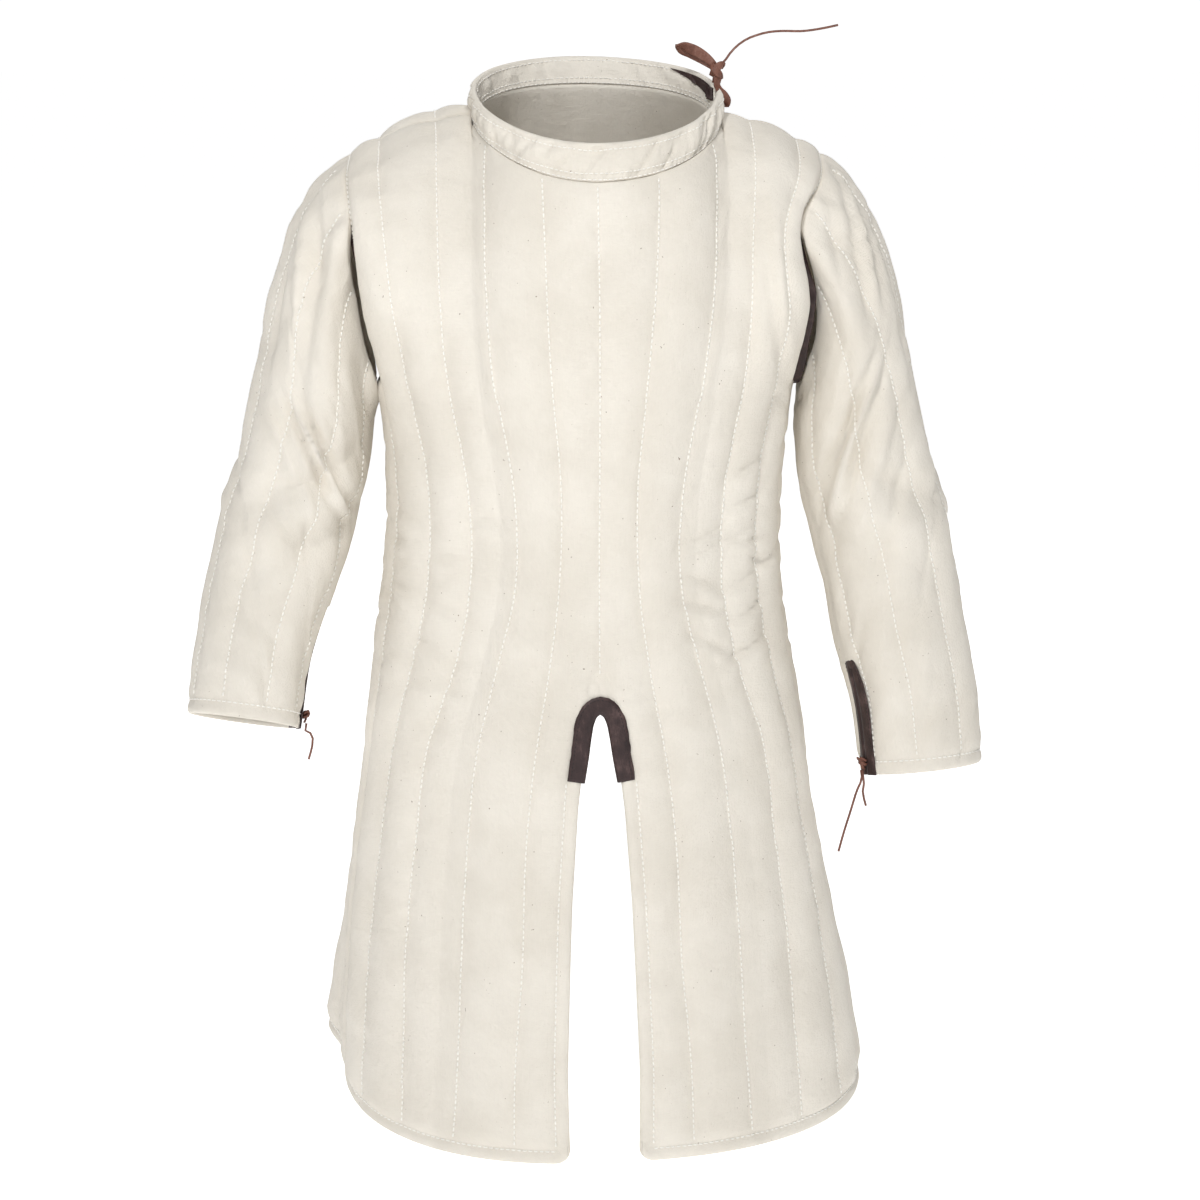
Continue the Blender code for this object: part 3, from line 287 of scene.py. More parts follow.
class CloseWall:
    """Closed cloth wall: a fine outer grid, a coarser inner one and a rim round every edge."""

    def __init__(self, outer: Array, inner: Array, cells: Array, step: int, wrap: bool = False) -> None:
        """Gather the wall's faces.

        Args:
            outer: fine grid of outer points.
            inner: fine grid of inner points, of which every step-th is used.
            cells: which coarse cells are kept; with wrap the last column closes the tube.
            step: fine cells along the side of a coarse one.
            wrap: whether the last column joins the first, in one fine cell.
        """
        self.rows, self.columns = outer.shape[:2]
        self.step, self.wrap = step, wrap
        self.coarse_columns = list(range(0, self.columns, step))
        self.points = np.vstack([outer.reshape(-1, 3), inner[::step, ::step].reshape(-1, 3)])
        self.offset = self.rows * self.columns
        self.cells = cells
        self.faces: list[tuple[int, ...]] = []
        self.add_faces(outer, inner)

    def outer_at(self, row: int, column: int) -> int:
        """Number of an outer vertex, by its fine row and column."""
        return row * self.columns + column % self.columns

    def inner_at(self, row: int, column: int) -> int:
        """Number of an inner vertex, by its coarse row and column."""
        return self.offset + row * len(self.coarse_columns) + column % len(self.coarse_columns)

    def across(self, column: int) -> list[int]:
        """Fine columns along the side of a coarse cell."""
        if self.wrap and column == len(self.coarse_columns) - 1:
            return [self.columns - 1, 0]
        return list(range(column * self.step, (column + 1) * self.step + 1))

    def kept(self, row: int, column: int) -> bool:
        """Whether a coarse cell is part of the cloth."""
        rows, columns = self.cells.shape
        if self.wrap:
            column %= columns
        return 0 <= row < rows and 0 <= column < columns and bool(self.cells[row, column])

    def add_faces(self, outer: Array, inner: Array) -> None:
        """Add the outer, inner and rim faces, all facing out of the wall."""
        made = self.faces
        for r, c in np.argwhere(self.cells):
            fine = self.across(c)
            for i in range(r * self.step, (r + 1) * self.step):
                for a, b in zip(fine, fine[1:]):
                    made.append((self.outer_at(i, a), self.outer_at(i + 1, a),
                                 self.outer_at(i + 1, b), self.outer_at(i, b)))
            made.append((self.inner_at(r, c), self.inner_at(r, c + 1),
                         self.inner_at(r + 1, c + 1), self.inner_at(r + 1, c)))
            down = list(range(r * self.step, (r + 1) * self.step + 1))
            low, high = down[0], down[-1]
            left, right = fine[0], fine[-1]
            sides = [((r, c - 1), [(i, left) for i in down], (r, c), (r + 1, c)),
                     ((r + 1, c), [(high, k) for k in fine], (r + 1, c), (r + 1, c + 1)),
                     ((r, c + 1), [(i, right) for i in down[::-1]], (r + 1, c + 1), (r, c + 1)),
                     ((r - 1, c), [(low, k) for k in fine[::-1]], (r, c + 1), (r, c))]
            for beyond, edge, first, last in sides:
                if not self.kept(*beyond):
                    spots = [self.outer_at(*p) for p in edge]
                    self.add_rim(spots, self.inner_at(*first), self.inner_at(*last))
        r, c = np.argwhere(self.cells)[len(np.argwhere(self.cells)) // 2]
        row, fine = r * self.step, self.across(c)
        down_edge = outer[row + 1, fine[0]] - outer[row, fine[0]]
        over_edge = outer[row, fine[1]] - outer[row, fine[0]]
        if np.dot(np.cross(down_edge, over_edge), outer[row, fine[0]] - inner[row, fine[0]]) < 0:
            self.faces = [tuple(reversed(face)) for face in made]

    def add_rim(self, edge: list[int], first: int, last: int) -> None:
        """Close the wall along one side of a coarse cell."""
        middle = len(edge) // 2
        for k, (a, b) in enumerate(zip(edge, edge[1:])):
            self.faces.append((b, a, first if k < middle else last))
        self.faces.append((edge[middle], first, last))

    def piece(self, name: str, uv: Array, gap: float = 0) -> bpy.types.Object:
        """Make the piece.

        Args:
            name: name of the piece.
            uv: place on the cloth of each fine point, in metres.
            gap: width of the cell that closes a tube.

        Returns:
            The new piece.
        """
        spots = np.vstack([uv.reshape(-1, 2), uv[::self.step, ::self.step].reshape(-1, 2)])
        used = np.zeros(len(self.points), bool)
        for face in self.faces:
            used[list(face)] = True
        number = np.cumsum(used) - 1
        faces = [tuple(int(number[v]) for v in face) for face in self.faces]
        made = new_piece(name, self.points[used], faces, spots[used])
        if self.wrap:
            self.mend_uv(made, uv, gap)
        return made

    @staticmethod
    def mend_uv(made: bpy.types.Object, uv: Array, gap: float) -> None:
        """Carry the cloth's places over the line where a tube closes."""
        layer = made.data.uv_layers["cloth"]
        spots = np.zeros(len(layer.data) * 2)
        layer.data.foreach_get("uv", spots)
        spots = spots.reshape(-1, 2)
        limit = float(uv[..., 0].max())
        for face in made.data.polygons:
            corners = list(face.loop_indices)
            across = spots[corners, 0]
            if across.max() - across.min() > limit / 2:
                low = across < limit / 2
                spots[np.array(corners)[low], 0] += limit + gap
        layer.data.foreach_set("uv", spots.ravel())


def loft(name: str, sections: Array) -> bpy.types.Object:
    """Solid piece through a row of like closed sections."""
    return new_piece(name, *loft_parts(np.asarray(sections, float)))


def loft_parts(sections: Array) -> tuple[Array, list]:
    """Points and faces of a solid through a row of sections.

    Args:
        sections: array of stations by points by three.

    Returns:
        Points, and faces that look outward.
    """
    stations, count = sections.shape[:2]
    faces: list[tuple[int, ...]] = []
    for k in range(stations - 1):
        for i in range(count):
            j = (i + 1) % count
            faces.append((k * count + i, k * count + j, (k + 1) * count + j, (k + 1) * count + i))
    last = (stations - 1) * count
    for i in range(count // 2 - 1):
        faces.append((i + 1, i, count - 1 - i, count - 2 - i))
        faces.append((last + i, last + i + 1, last + count - 2 - i, last + count - 1 - i))
    middle = sections.shape[0] // 2
    ring = sections[middle]
    ahead = sections[min(middle + 1, stations - 1)].mean(0) - sections[max(middle - 1, 0)].mean(0)
    area = np.cross(ring - ring.mean(0), np.roll(ring, -1, axis=0) - ring.mean(0)).sum(0)
    if np.dot(area, ahead) > 0:
        faces = [tuple(reversed(face)) for face in faces]
    return sections.reshape(-1, 3), faces


def joined(name: str, parts: Sequence[tuple[Array, list]]) -> bpy.types.Object:
    """One piece from the points and faces of several.

    Args:
        name: name of the piece.
        parts: points and faces of each.

    Returns:
        The new piece.
    """
    points: list[Array] = []
    faces: list[tuple[int, ...]] = []
    start = 0
    for spots, own in parts:
        points.append(spots)
        faces += [tuple(v + start for v in face) for face in own]
        start += len(spots)
    return new_piece(name, np.vstack(points), faces)


@dataclass(frozen=True)
class Stitch:
    """One stitch of thread: its size, and the step from one to the next."""

    long: float = .0038
    pitch: float = .0052
    radius: float = .0007
    sunk: float = 0.0

    def row(self, path: Array, normals: Array) -> tuple[Array, list]:
        """Stitches along a line on the cloth.

        Args:
            path: places along the line.
            normals: outward direction at each place.

        Returns:
            Points and faces of all of them.
        """
        run = running(path)
        count = max(int(run[-1] / self.pitch), 1)
        starts = (np.arange(count) + .5) * run[-1] / count
        a = np.stack([np.interp(starts - self.long / 2, run, path[:, k]) for k in range(3)], -1)
        b = np.stack([np.interp(starts + self.long / 2, run, path[:, k]) for k in range(3)], -1)
        n = unit(np.stack([np.interp(starts, run, normals[:, k]) for k in range(3)], -1))
        t = unit(b - a)
        s = unit(np.cross(n, t))
        middle = (a + b) / 2 + n * (self.radius * .8 - self.sunk)
        shape = []
        for along, thick, lift in ((-.5, .55, -.9), (-.3, 1.0, 0.0), (.3, 1.0, 0.0), (.5, .55, -.9)):
            for turn in range(4):
                angle = math.pi / 4 + turn * math.pi / 2
                shape.append((along * self.long, math.cos(angle) * thick * self.radius * 1.25,
                              math.sin(angle) * thick * self.radius + lift * self.radius))
        shape = np.array(shape)
        spots = (middle[:, None] + t[:, None] * shape[:, 0, None] + s[:, None] * shape[:, 1, None]
                 + n[:, None] * shape[:, 2, None])
        own = [(k * 4 + i, k * 4 + (i + 1) % 4, k * 4 + 4 + (i + 1) % 4, k * 4 + 4 + i)
               for k in range(3) for i in range(4)] + [(3, 2, 1, 0), (12, 13, 14, 15)]
        faces = [tuple(m * 16 + v for v in face) for m in range(len(spots)) for face in own]
        return spots.reshape(-1, 3), faces


# Shader nodes as expressions

Feed = Union["Value", float, int, tuple]


class Value:
    """Socket of a material's nodes that can be used in arithmetic."""

    def __init__(self, tree: "Tree", socket: bpy.types.NodeSocket) -> None:
        """Keep the socket and the tree it is in."""
        self.tree = tree
        self.socket = socket

    def _math(self, operation: str, *feeds: Feed) -> "Value":
        """Add a Math node and give its result."""
        return self.tree.node("ShaderNodeMath", {"operation": operation}, dict(enumerate(feeds)))

    def __add__(self, other: Feed) -> "Value":
        """Sum of two values."""
        return self._math("ADD", self, other)

    __radd__ = __add__

    def __sub__(self, other: Feed) -> "Value":
        """Difference of two values."""
        return self._math("SUBTRACT", self, other)

    def __rsub__(self, other: Feed) -> "Value":
        """Number less this value."""
        return self._math("SUBTRACT", other, self)

    def __mul__(self, other: Feed) -> "Value":
        """Product of two values."""
        return self._math("MULTIPLY", self, other)

    __rmul__ = __mul__

    def __pow__(self, other: Feed) -> "Value":
        """Power of a value."""
        return self._math("POWER", self, other)

    def within(self, low: float, high: float) -> "Value":
        """Smooth step from 0 at low to 1 at high."""
        return self.tree.node("ShaderNodeMapRange", {"interpolation_type": "SMOOTHSTEP"},
                              {"Value": self, "From Min": low, "From Max": high})


class Tree:
    """Nodes of one material."""

    def __init__(self, name: str) -> None:
        """Start a material with its plain shader."""
        self.material = bpy.data.materials.new(name)
        self.material.use_nodes = True
        self.nodes = self.material.node_tree.nodes
        self.shader = self.nodes["Principled BSDF"]

    def node(self, kind: str, settings: dict[str, Any], feeds: dict[Any, Feed], out: Any = 0) -> Value:
        """Add a node.

        Args:
            kind: type of the node.
            settings: its settings, set before its sockets.
            feeds: value or link of each socket, by name or number.
            out: which of its outputs to give.

        Returns:
            The output.
        """
        made = self.nodes.new(kind)
        for name, value in settings.items():
            setattr(made, name, value)
        for name, feed in feeds.items():
            if isinstance(feed, Value):
                self.material.node_tree.links.new(feed.socket, made.inputs[name])
            else:
                made.inputs[name].default_value = feed
        return Value(self, made.outputs[out])

    def ramp(self, factor: Value, stops: Sequence[tuple[float, tuple[float, float, float]]]) -> Value:
        """Colour ramp from its stops."""
        made = self.nodes.new("ShaderNodeValToRGB")
        line = made.color_ramp.elements
        while len(line) < len(stops):
            line.new(.5)
        for element, (place, colour) in zip(line, stops):
            element.position = place
            element.color = (*colour, 1)
        self.material.node_tree.links.new(factor.socket, made.inputs[0])
        return Value(self, made.outputs[0])

    def noise(self, where: Value, scale: float, detail: float = 3, rough: float = .5) -> Value:
        """Soft random values over a surface."""
        return self.node("ShaderNodeTexNoise", {"noise_dimensions": "3D"},
                         {"Vector": where, "Scale": scale, "Detail": detail, "Roughness": rough})

    def blend(self, factor: Feed, first: Feed, second: Feed) -> Value:
        """Colour between two colours."""
        made = self.nodes.new("ShaderNodeMix")
        made.data_type = "RGBA"
        sockets = {"factor": made.inputs[0], "first": made.inputs[6], "second": made.inputs[7]}
        for name, feed in (("factor", factor), ("first", first), ("second", second)):
            if isinstance(feed, Value):
                self.material.node_tree.links.new(feed.socket, sockets[name])
            else:
                sockets[name].default_value = feed
        return Value(self, made.outputs[2])

    def tinted(self, colour: Value, shade: Value) -> Value:
        """Colour times a brightness, through Vector Math."""
        return self.node("ShaderNodeVectorMath", {"operation": "SCALE"}, {0: colour, "Scale": shade})

    def scaled(self, where: Value, scale: tuple[float, float, float]) -> Value:
        """Place stretched along each axis."""
        return self.node("ShaderNodeVectorMath", {"operation": "MULTIPLY"}, {0: where, 1: scale})

    def object_place(self) -> Value:
        """Place on the piece in metres."""
        return self.node("ShaderNodeTexCoord", {}, {}, "Object")

    def cloth_place(self) -> Value:
        """Place on the flat cloth in metres."""
        return self.node("ShaderNodeUVMap", {"uv_map": "cloth"}, {})

    def bump(self, height: Value, strength: float, distance: float, below: Optional[Value] = None) -> Value:
        """Relief too fine for the mesh."""
        feeds: dict[Any, Feed] = {"Height": height, "Strength": strength, "Distance": distance}
        if below is not None:
            feeds["Normal"] = below
        return self.node("ShaderNodeBump", {}, feeds)

    def finish(self, **feeds: Feed) -> bpy.types.Material:
        """Feed the shader, a keyword for each socket, and give the material."""
        for name, feed in feeds.items():
            socket = self.shader.inputs[name.replace("_", " ")]
            if isinstance(feed, Value):
                self.material.node_tree.links.new(feed.socket, socket)
            else:
                socket.default_value = feed
        return self.material


Colour = tuple[float, float, float]


@dataclass(frozen=True)
class CottonCanvas:
    """Undyed cotton canvas: a plain weave with slubs, seed flecks and a soft crumple."""

    name: str = "cotton_canvas"
    light: Colour = (.812, .766, .686)
    shade: Colour = (.752, .704, .622)
    fleck: Colour = (.2, .13, .08)
    thread: float = .0011
    has_cloth_places: bool = True

    def material(self) -> bpy.types.Material:
        """Build the canvas."""
        tree = Tree(self.name)
        place = tree.object_place()
        cloth = tree.cloth_place() if self.has_cloth_places else place
        blotch = tree.noise(place, 14, 4, .55)
        slub_across = tree.noise(tree.scaled(cloth, (90, 900, 1)), 1, 2)
        slub_down = tree.noise(tree.scaled(cloth, (900, 90, 1)), 1, 2)
        colour = tree.blend(blotch.within(.32, .68), (*self.shade, 1), (*self.light, 1))
        seeds = tree.noise(place, 420, 1, .4).within(.765, .8)
        sparse = tree.noise(tree.scaled(place, (1, 1.3, .9)), 60, 1, .5).within(.48, .6)
        colour = tree.blend(seeds * sparse * .85, colour, (*self.fleck, 1))
        colour = tree.tinted(colour, .945 + (slub_across + slub_down) * .055)
        turns = 1 / self.thread
        warp = tree.node("ShaderNodeTexWave", {"bands_direction": "X"},
                         {"Vector": cloth, "Scale": turns / 20 * math.pi * 2, "Distortion": 1.2, "Detail": 1})
        weft = tree.node("ShaderNodeTexWave", {"bands_direction": "Y"},
                         {"Vector": cloth, "Scale": turns / 20 * math.pi * 2, "Distortion": 1.2, "Detail": 1})
        crumple = tree.noise(place, 75, 4, .62)
        relief = tree.bump(crumple, .6, .0028)
        relief = tree.bump(warp * weft + (slub_across + slub_down) * .9, .6, .0005, relief)
        return tree.finish(Base_Color=colour, Roughness=.93, Normal=relief, Sheen_Weight=.12,
                           Sheen_Roughness=.5, Specular_IOR_Level=.2)


@dataclass(frozen=True)
class BridleLeather:
    """Waxed leather with grain, scuffs and paler worn places."""

    name: str
    deep: Colour
    middle: Colour
    worn: Colour
    roughness: float = .5
    grain: float = 900

    def material(self) -> bpy.types.Material:
        """Build the leather."""
        tree = Tree(self.name)
        place = tree.object_place()
        cloudy = tree.noise(place, 60, 5, .6)
        cracks = tree.noise(tree.scaled(place, (1, 1, .35)), 260, 4, .7)
        colour = tree.ramp(cloudy * .6 + cracks * .4,
                           [(.36, self.deep), (.52, self.middle), (.68, self.worn)])
        pores = tree.node("ShaderNodeTexVoronoi", {"feature": "F1"}, {"Vector": place, "Scale": self.grain})
        relief = tree.bump(cracks, .5, .0009)
        relief = tree.bump(pores, .4, .0003, relief)
        rough = self.roughness - .08 + cracks * .2
        return tree.finish(Base_Color=colour, Roughness=rough, Normal=relief, Specular_IOR_Level=.45)


@dataclass(frozen=True)
class Thread:
    """Waxed sewing thread with the twist of its plies."""

    name: str
    colour: Colour
    dark: Colour
    roughness: float = .75

    def material(self) -> bpy.types.Material:
        """Build the thread."""
        tree = Tree(self.name)
        place = tree.object_place()
        plies = tree.noise(place, 1500, 2, .5)
        colour = tree.blend(plies.within(.3, .7), (*self.dark, 1), (*self.colour, 1))
        relief = tree.bump(plies, .4, .0002)
        return tree.finish(Base_Color=colour, Roughness=self.roughness, Normal=relief)


@dataclass(frozen=True)
class StudioPaper:
    """Pale seamless paper for the floor."""

    name: str = "studio_paper"
    light: Colour = (.93, .93, .93)
    shade: Colour = (.91, .91, .91)

    def material(self) -> bpy.types.Material:
        """Build the paper."""
        tree = Tree(self.name)
        grain = tree.noise(tree.object_place(), 40, 2)
        colour = tree.blend(grain, (*self.shade, 1), (*self.light, 1))
        return tree.finish(Base_Color=colour, Roughness=.9, Specular_IOR_Level=.1,
                           Emission_Color=(1, 1, 1, 1), Emission_Strength=.8)


@dataclass
class Finishes:
    """Materials of the coat, each built once."""

    cotton: bpy.types.Material = field(default_factory=lambda: CottonCanvas().material())
    dark_leather: bpy.types.Material = field(default_factory=lambda: BridleLeather(
        "dark_leather", (.017, .006, .006), (.036, .017, .016), (.1, .058, .054)).material())
    lace_leather: bpy.types.Material = field(default_factory=lambda: BridleLeather(
        "lace_leather", (.105, .036, .022), (.185, .075, .05), (.29, .165, .13), .55, 1400).material())
    cotton_thread: bpy.types.Material = field(default_factory=lambda: Thread(
        "cotton_thread", (.95, .93, .885), (.86, .83, .77)).material())
    dark_thread: bpy.types.Material = field(default_factory=lambda: Thread(
        "dark_thread", (.02, .01, .009), (.008, .004, .004), .6).material())


def dress(piece: bpy.types.Object, material: bpy.types.Material, slot: str, *nodes: str) -> bpy.types.Object:
    """Give a piece its material and body, and hide the solids it stands for.

    Args:
        piece: the piece.
        material: its finish.
        slot: not used.
        nodes: solids that it replaces.

    Returns:
        The same piece.
    """
    piece.data.materials.clear()
    piece.data.materials.append(material)
    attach(piece, "root")
    if nodes:
        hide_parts(*nodes)
    faces = len(piece.data.polygons) if piece.type == "MESH" else 0
    log.info("%s: %d faces", piece.name, faces)
    return piece


# Camera and light


@dataclass(frozen=True)
class Studio:
    """Camera at the photograph's angle, with a pale floor and soft light."""

    azimuth: float = -5.0
    elevation: float = 13.0
    distance: float = 2.2
    target: tuple[float, float, float] = (.012, 0.0, -.456)
    lens: float = 69.47
    floor_height: float = -1.02

    def camera(self) -> None:
        """Stand the camera where the photograph was taken."""
        turn, rise = math.radians(self.azimuth), math.radians(self.elevation)
        back = np.array([math.sin(turn) * math.cos(rise), -math.cos(turn) * math.cos(rise), math.sin(rise)])
        data = bpy.data.cameras.new("camera")
        data.lens = self.lens
        data.sensor_width = 36
        camera = bpy.data.objects.new("camera", data)
        camera.location = np.array(self.target) + back * self.distance
        camera.rotation_euler = (math.pi / 2 - rise, 0, turn)
        bpy.context.scene.collection.objects.link(camera)
        bpy.context.scene.camera = camera

    def floor(self) -> None:
        """Lay the paper on the floor."""
        half = 400.0
        mesh = bpy.data.meshes.new("floor")
        corners = [(-half, -half, 0), (half, -half, 0), (half, half, 0), (-half, half, 0)]
        mesh.from_pydata(corners, [], [(0, 1, 2, 3)])
        floor = bpy.data.objects.new("floor", mesh)
        floor.location.z = self.floor_height
        mesh.materials.append(StudioPaper().material())
        bpy.context.scene.collection.objects.link(floor)

    def lights(self) -> None:
        """Hang the soft boxes and set the light of the room."""
        Lamp = NamedTuple("Lamp", [("name", str), ("place", tuple), ("size", float), ("watts", float)])
        lamps = [Lamp("key_light", (-1.0, -2.4, 1.6), .4, 42), Lamp("fill_light", (1.0, -2.9, 0.0), 1.6, 7),
                 Lamp("top_light", (.3, -.8, 1.7), .5, 11), Lamp("back_light", (.4, 2.8, 1.6), 1.6, 34)]
        for lamp in lamps:
            data = bpy.data.lights.new(lamp.name, "AREA")
            data.size = lamp.size
            data.energy = lamp.watts
            light = bpy.data.objects.new(lamp.name, data)
            light.location = lamp.place
            aim = np.array(self.target) - np.array(lamp.place)
            level = math.hypot(aim[0], aim[1])
            light.rotation_euler = (math.atan2(level, -aim[2]), 0, math.atan2(aim[1], aim[0]) - math.pi / 2)
            bpy.context.scene.collection.objects.link(light)
        world = bpy.data.worlds.new("room")
        world.use_nodes = True
        room = world.node_tree.nodes["Background"]
        room.inputs["Color"].default_value = (1, 1, 1, 1)
        seen = world.node_tree.nodes.new("ShaderNodeLightPath")
        strength = world.node_tree.nodes.new("ShaderNodeMapRange")
        strength.inputs["To Min"].default_value = .22
        strength.inputs["To Max"].default_value = 1.05
        world.node_tree.links.new(seen.outputs["Is Camera Ray"], strength.inputs["Value"])
        world.node_tree.links.new(strength.outputs["Result"], room.inputs["Strength"])
        bpy.context.scene.world = world
        bpy.context.scene.view_settings.view_transform = "Standard"


# Free ends of the laces


@dataclass(frozen=True)
class FreeLace:
    """Free end of a round lace, along the route that its solid has."""

    name: str
    length: float
    route: Path
    lay: str
    radius: float = .0011

    def build(self, finishes: Finishes) -> None:
        route = np.array(self.route, float)
        run = running(route)
        count = max(int(run[-1] / (self.radius * 2 * 2.5)), 6)
        places = smooth(run, route, np.linspace(0, run[-1], count))
        curve = bpy.data.curves.new(self.name + "_lace", "CURVE")
        curve.dimensions = "3D"
        curve.bevel_depth = self.radius
        curve.bevel_resolution = 3
        curve.use_fill_caps = True
        spline = curve.splines.new("POLY")
        spline.points.add(len(places) - 1)
        for point, place in zip(spline.points, places):
            point.co = (*place, 1)
        piece = bpy.data.objects.new(self.name + "_lace", curve)
        coat_collection().objects.link(piece)
        dress(piece, finishes.lace_leather, "lace_leather", self.name)
        self.radius * 2


def build_tails(finishes: Finishes) -> None:
    """Draw the four free lace ends, each from its knot."""
    collar = [(.1247, .013, .0403), (.1276, .013, .0434), (.1315, .013, .049),
              (.1392, .013, .0569), (.1474, .013, .0623), (.1566, .013, .0658),
              (.1675, .013, .0685), (.1786, .013, .0694), (.1988, .013, .0694),
              (.2181, .013, .0721), (.231, .013, .0748)]
    FreeLace("collar_tail", .11705, collar, "loose").build(finishes)
    Knot = NamedTuple("Knot", [("middle", tuple), ("across", tuple), ("up", tuple)])
    knots = {Side.RIGHT: Knot((-.2644, -.06193, -.54528), (.16508, -.93831, .30383),
                              (.14191, .32745, .93415)),
             Side.LEFT: Knot((.25192, -.07393, -.60056), (.26533, -.93799, .2231),
                             (-.09446, .20499, .97419))}
    Tail = NamedTuple("Tail", [("name", str), ("side", Side), ("length", float), ("across", float),
                               ("route", list)])
    tails = [Tail("cuff_tail_left_long", Side.LEFT, .08186, -.0009,
                  [(-.0035, -.002, -.028), (-.009, -.003, -.047), (-.015, -.004, -.067),
                   (-.02, -.005, -.086)]),
             Tail("cuff_tail_left_short", Side.LEFT, .0363, .0021,
                  [(.0032, -.003, -.018), (.0022, -.003, -.028), (.0055, -.003, -.042)]),
             Tail("cuff_tail_right_short", Side.RIGHT, .0397, .0006,
                  [(.0036, -.001, -.018), (.0038, -.001, -.028), (0.0, -.001, -.042)])]
    for tail in tails:
        knot = knots[tail.side]
        middle, up = np.array(knot.middle), np.array(knot.up)
        start = middle + np.array(knot.across) * tail.across - up * .0075
        route = [start, start - up * .007, *(middle + np.array(place) for place in tail.route)]
        FreeLace(tail.name, tail.length, [tuple(place) for place in route], "hanging").build(finishes)


# Form of the body


class Section(NamedTuple):
    """One level section of the body."""

    drop: float
    right: float
    left: float
    flute: float
    front: float
    back: float


class Quilting(NamedTuple):
    """Distance of each quilted line from the centre, at one level."""

    drop: float
    line1: float
    line2: float
    line3: float
    line4: float
    line5: float


class SlitLevel(NamedTuple):
    """Half opening, stitched line and extra at the back of the centre slit, at one level."""

    drop: float
    edge: float
    stitch: float
    spread: float


class ArmholePlace(NamedTuple):
    """Place of the armhole edge, with X away from the middle."""

    share: float
    x: float
    y: float
    z: float


class Steep(NamedTuple):
    """Fall of the cloth where it leaves its top edge, in degrees, for one column."""

    column: float
    front: float
    back_right: float
    back_left: float


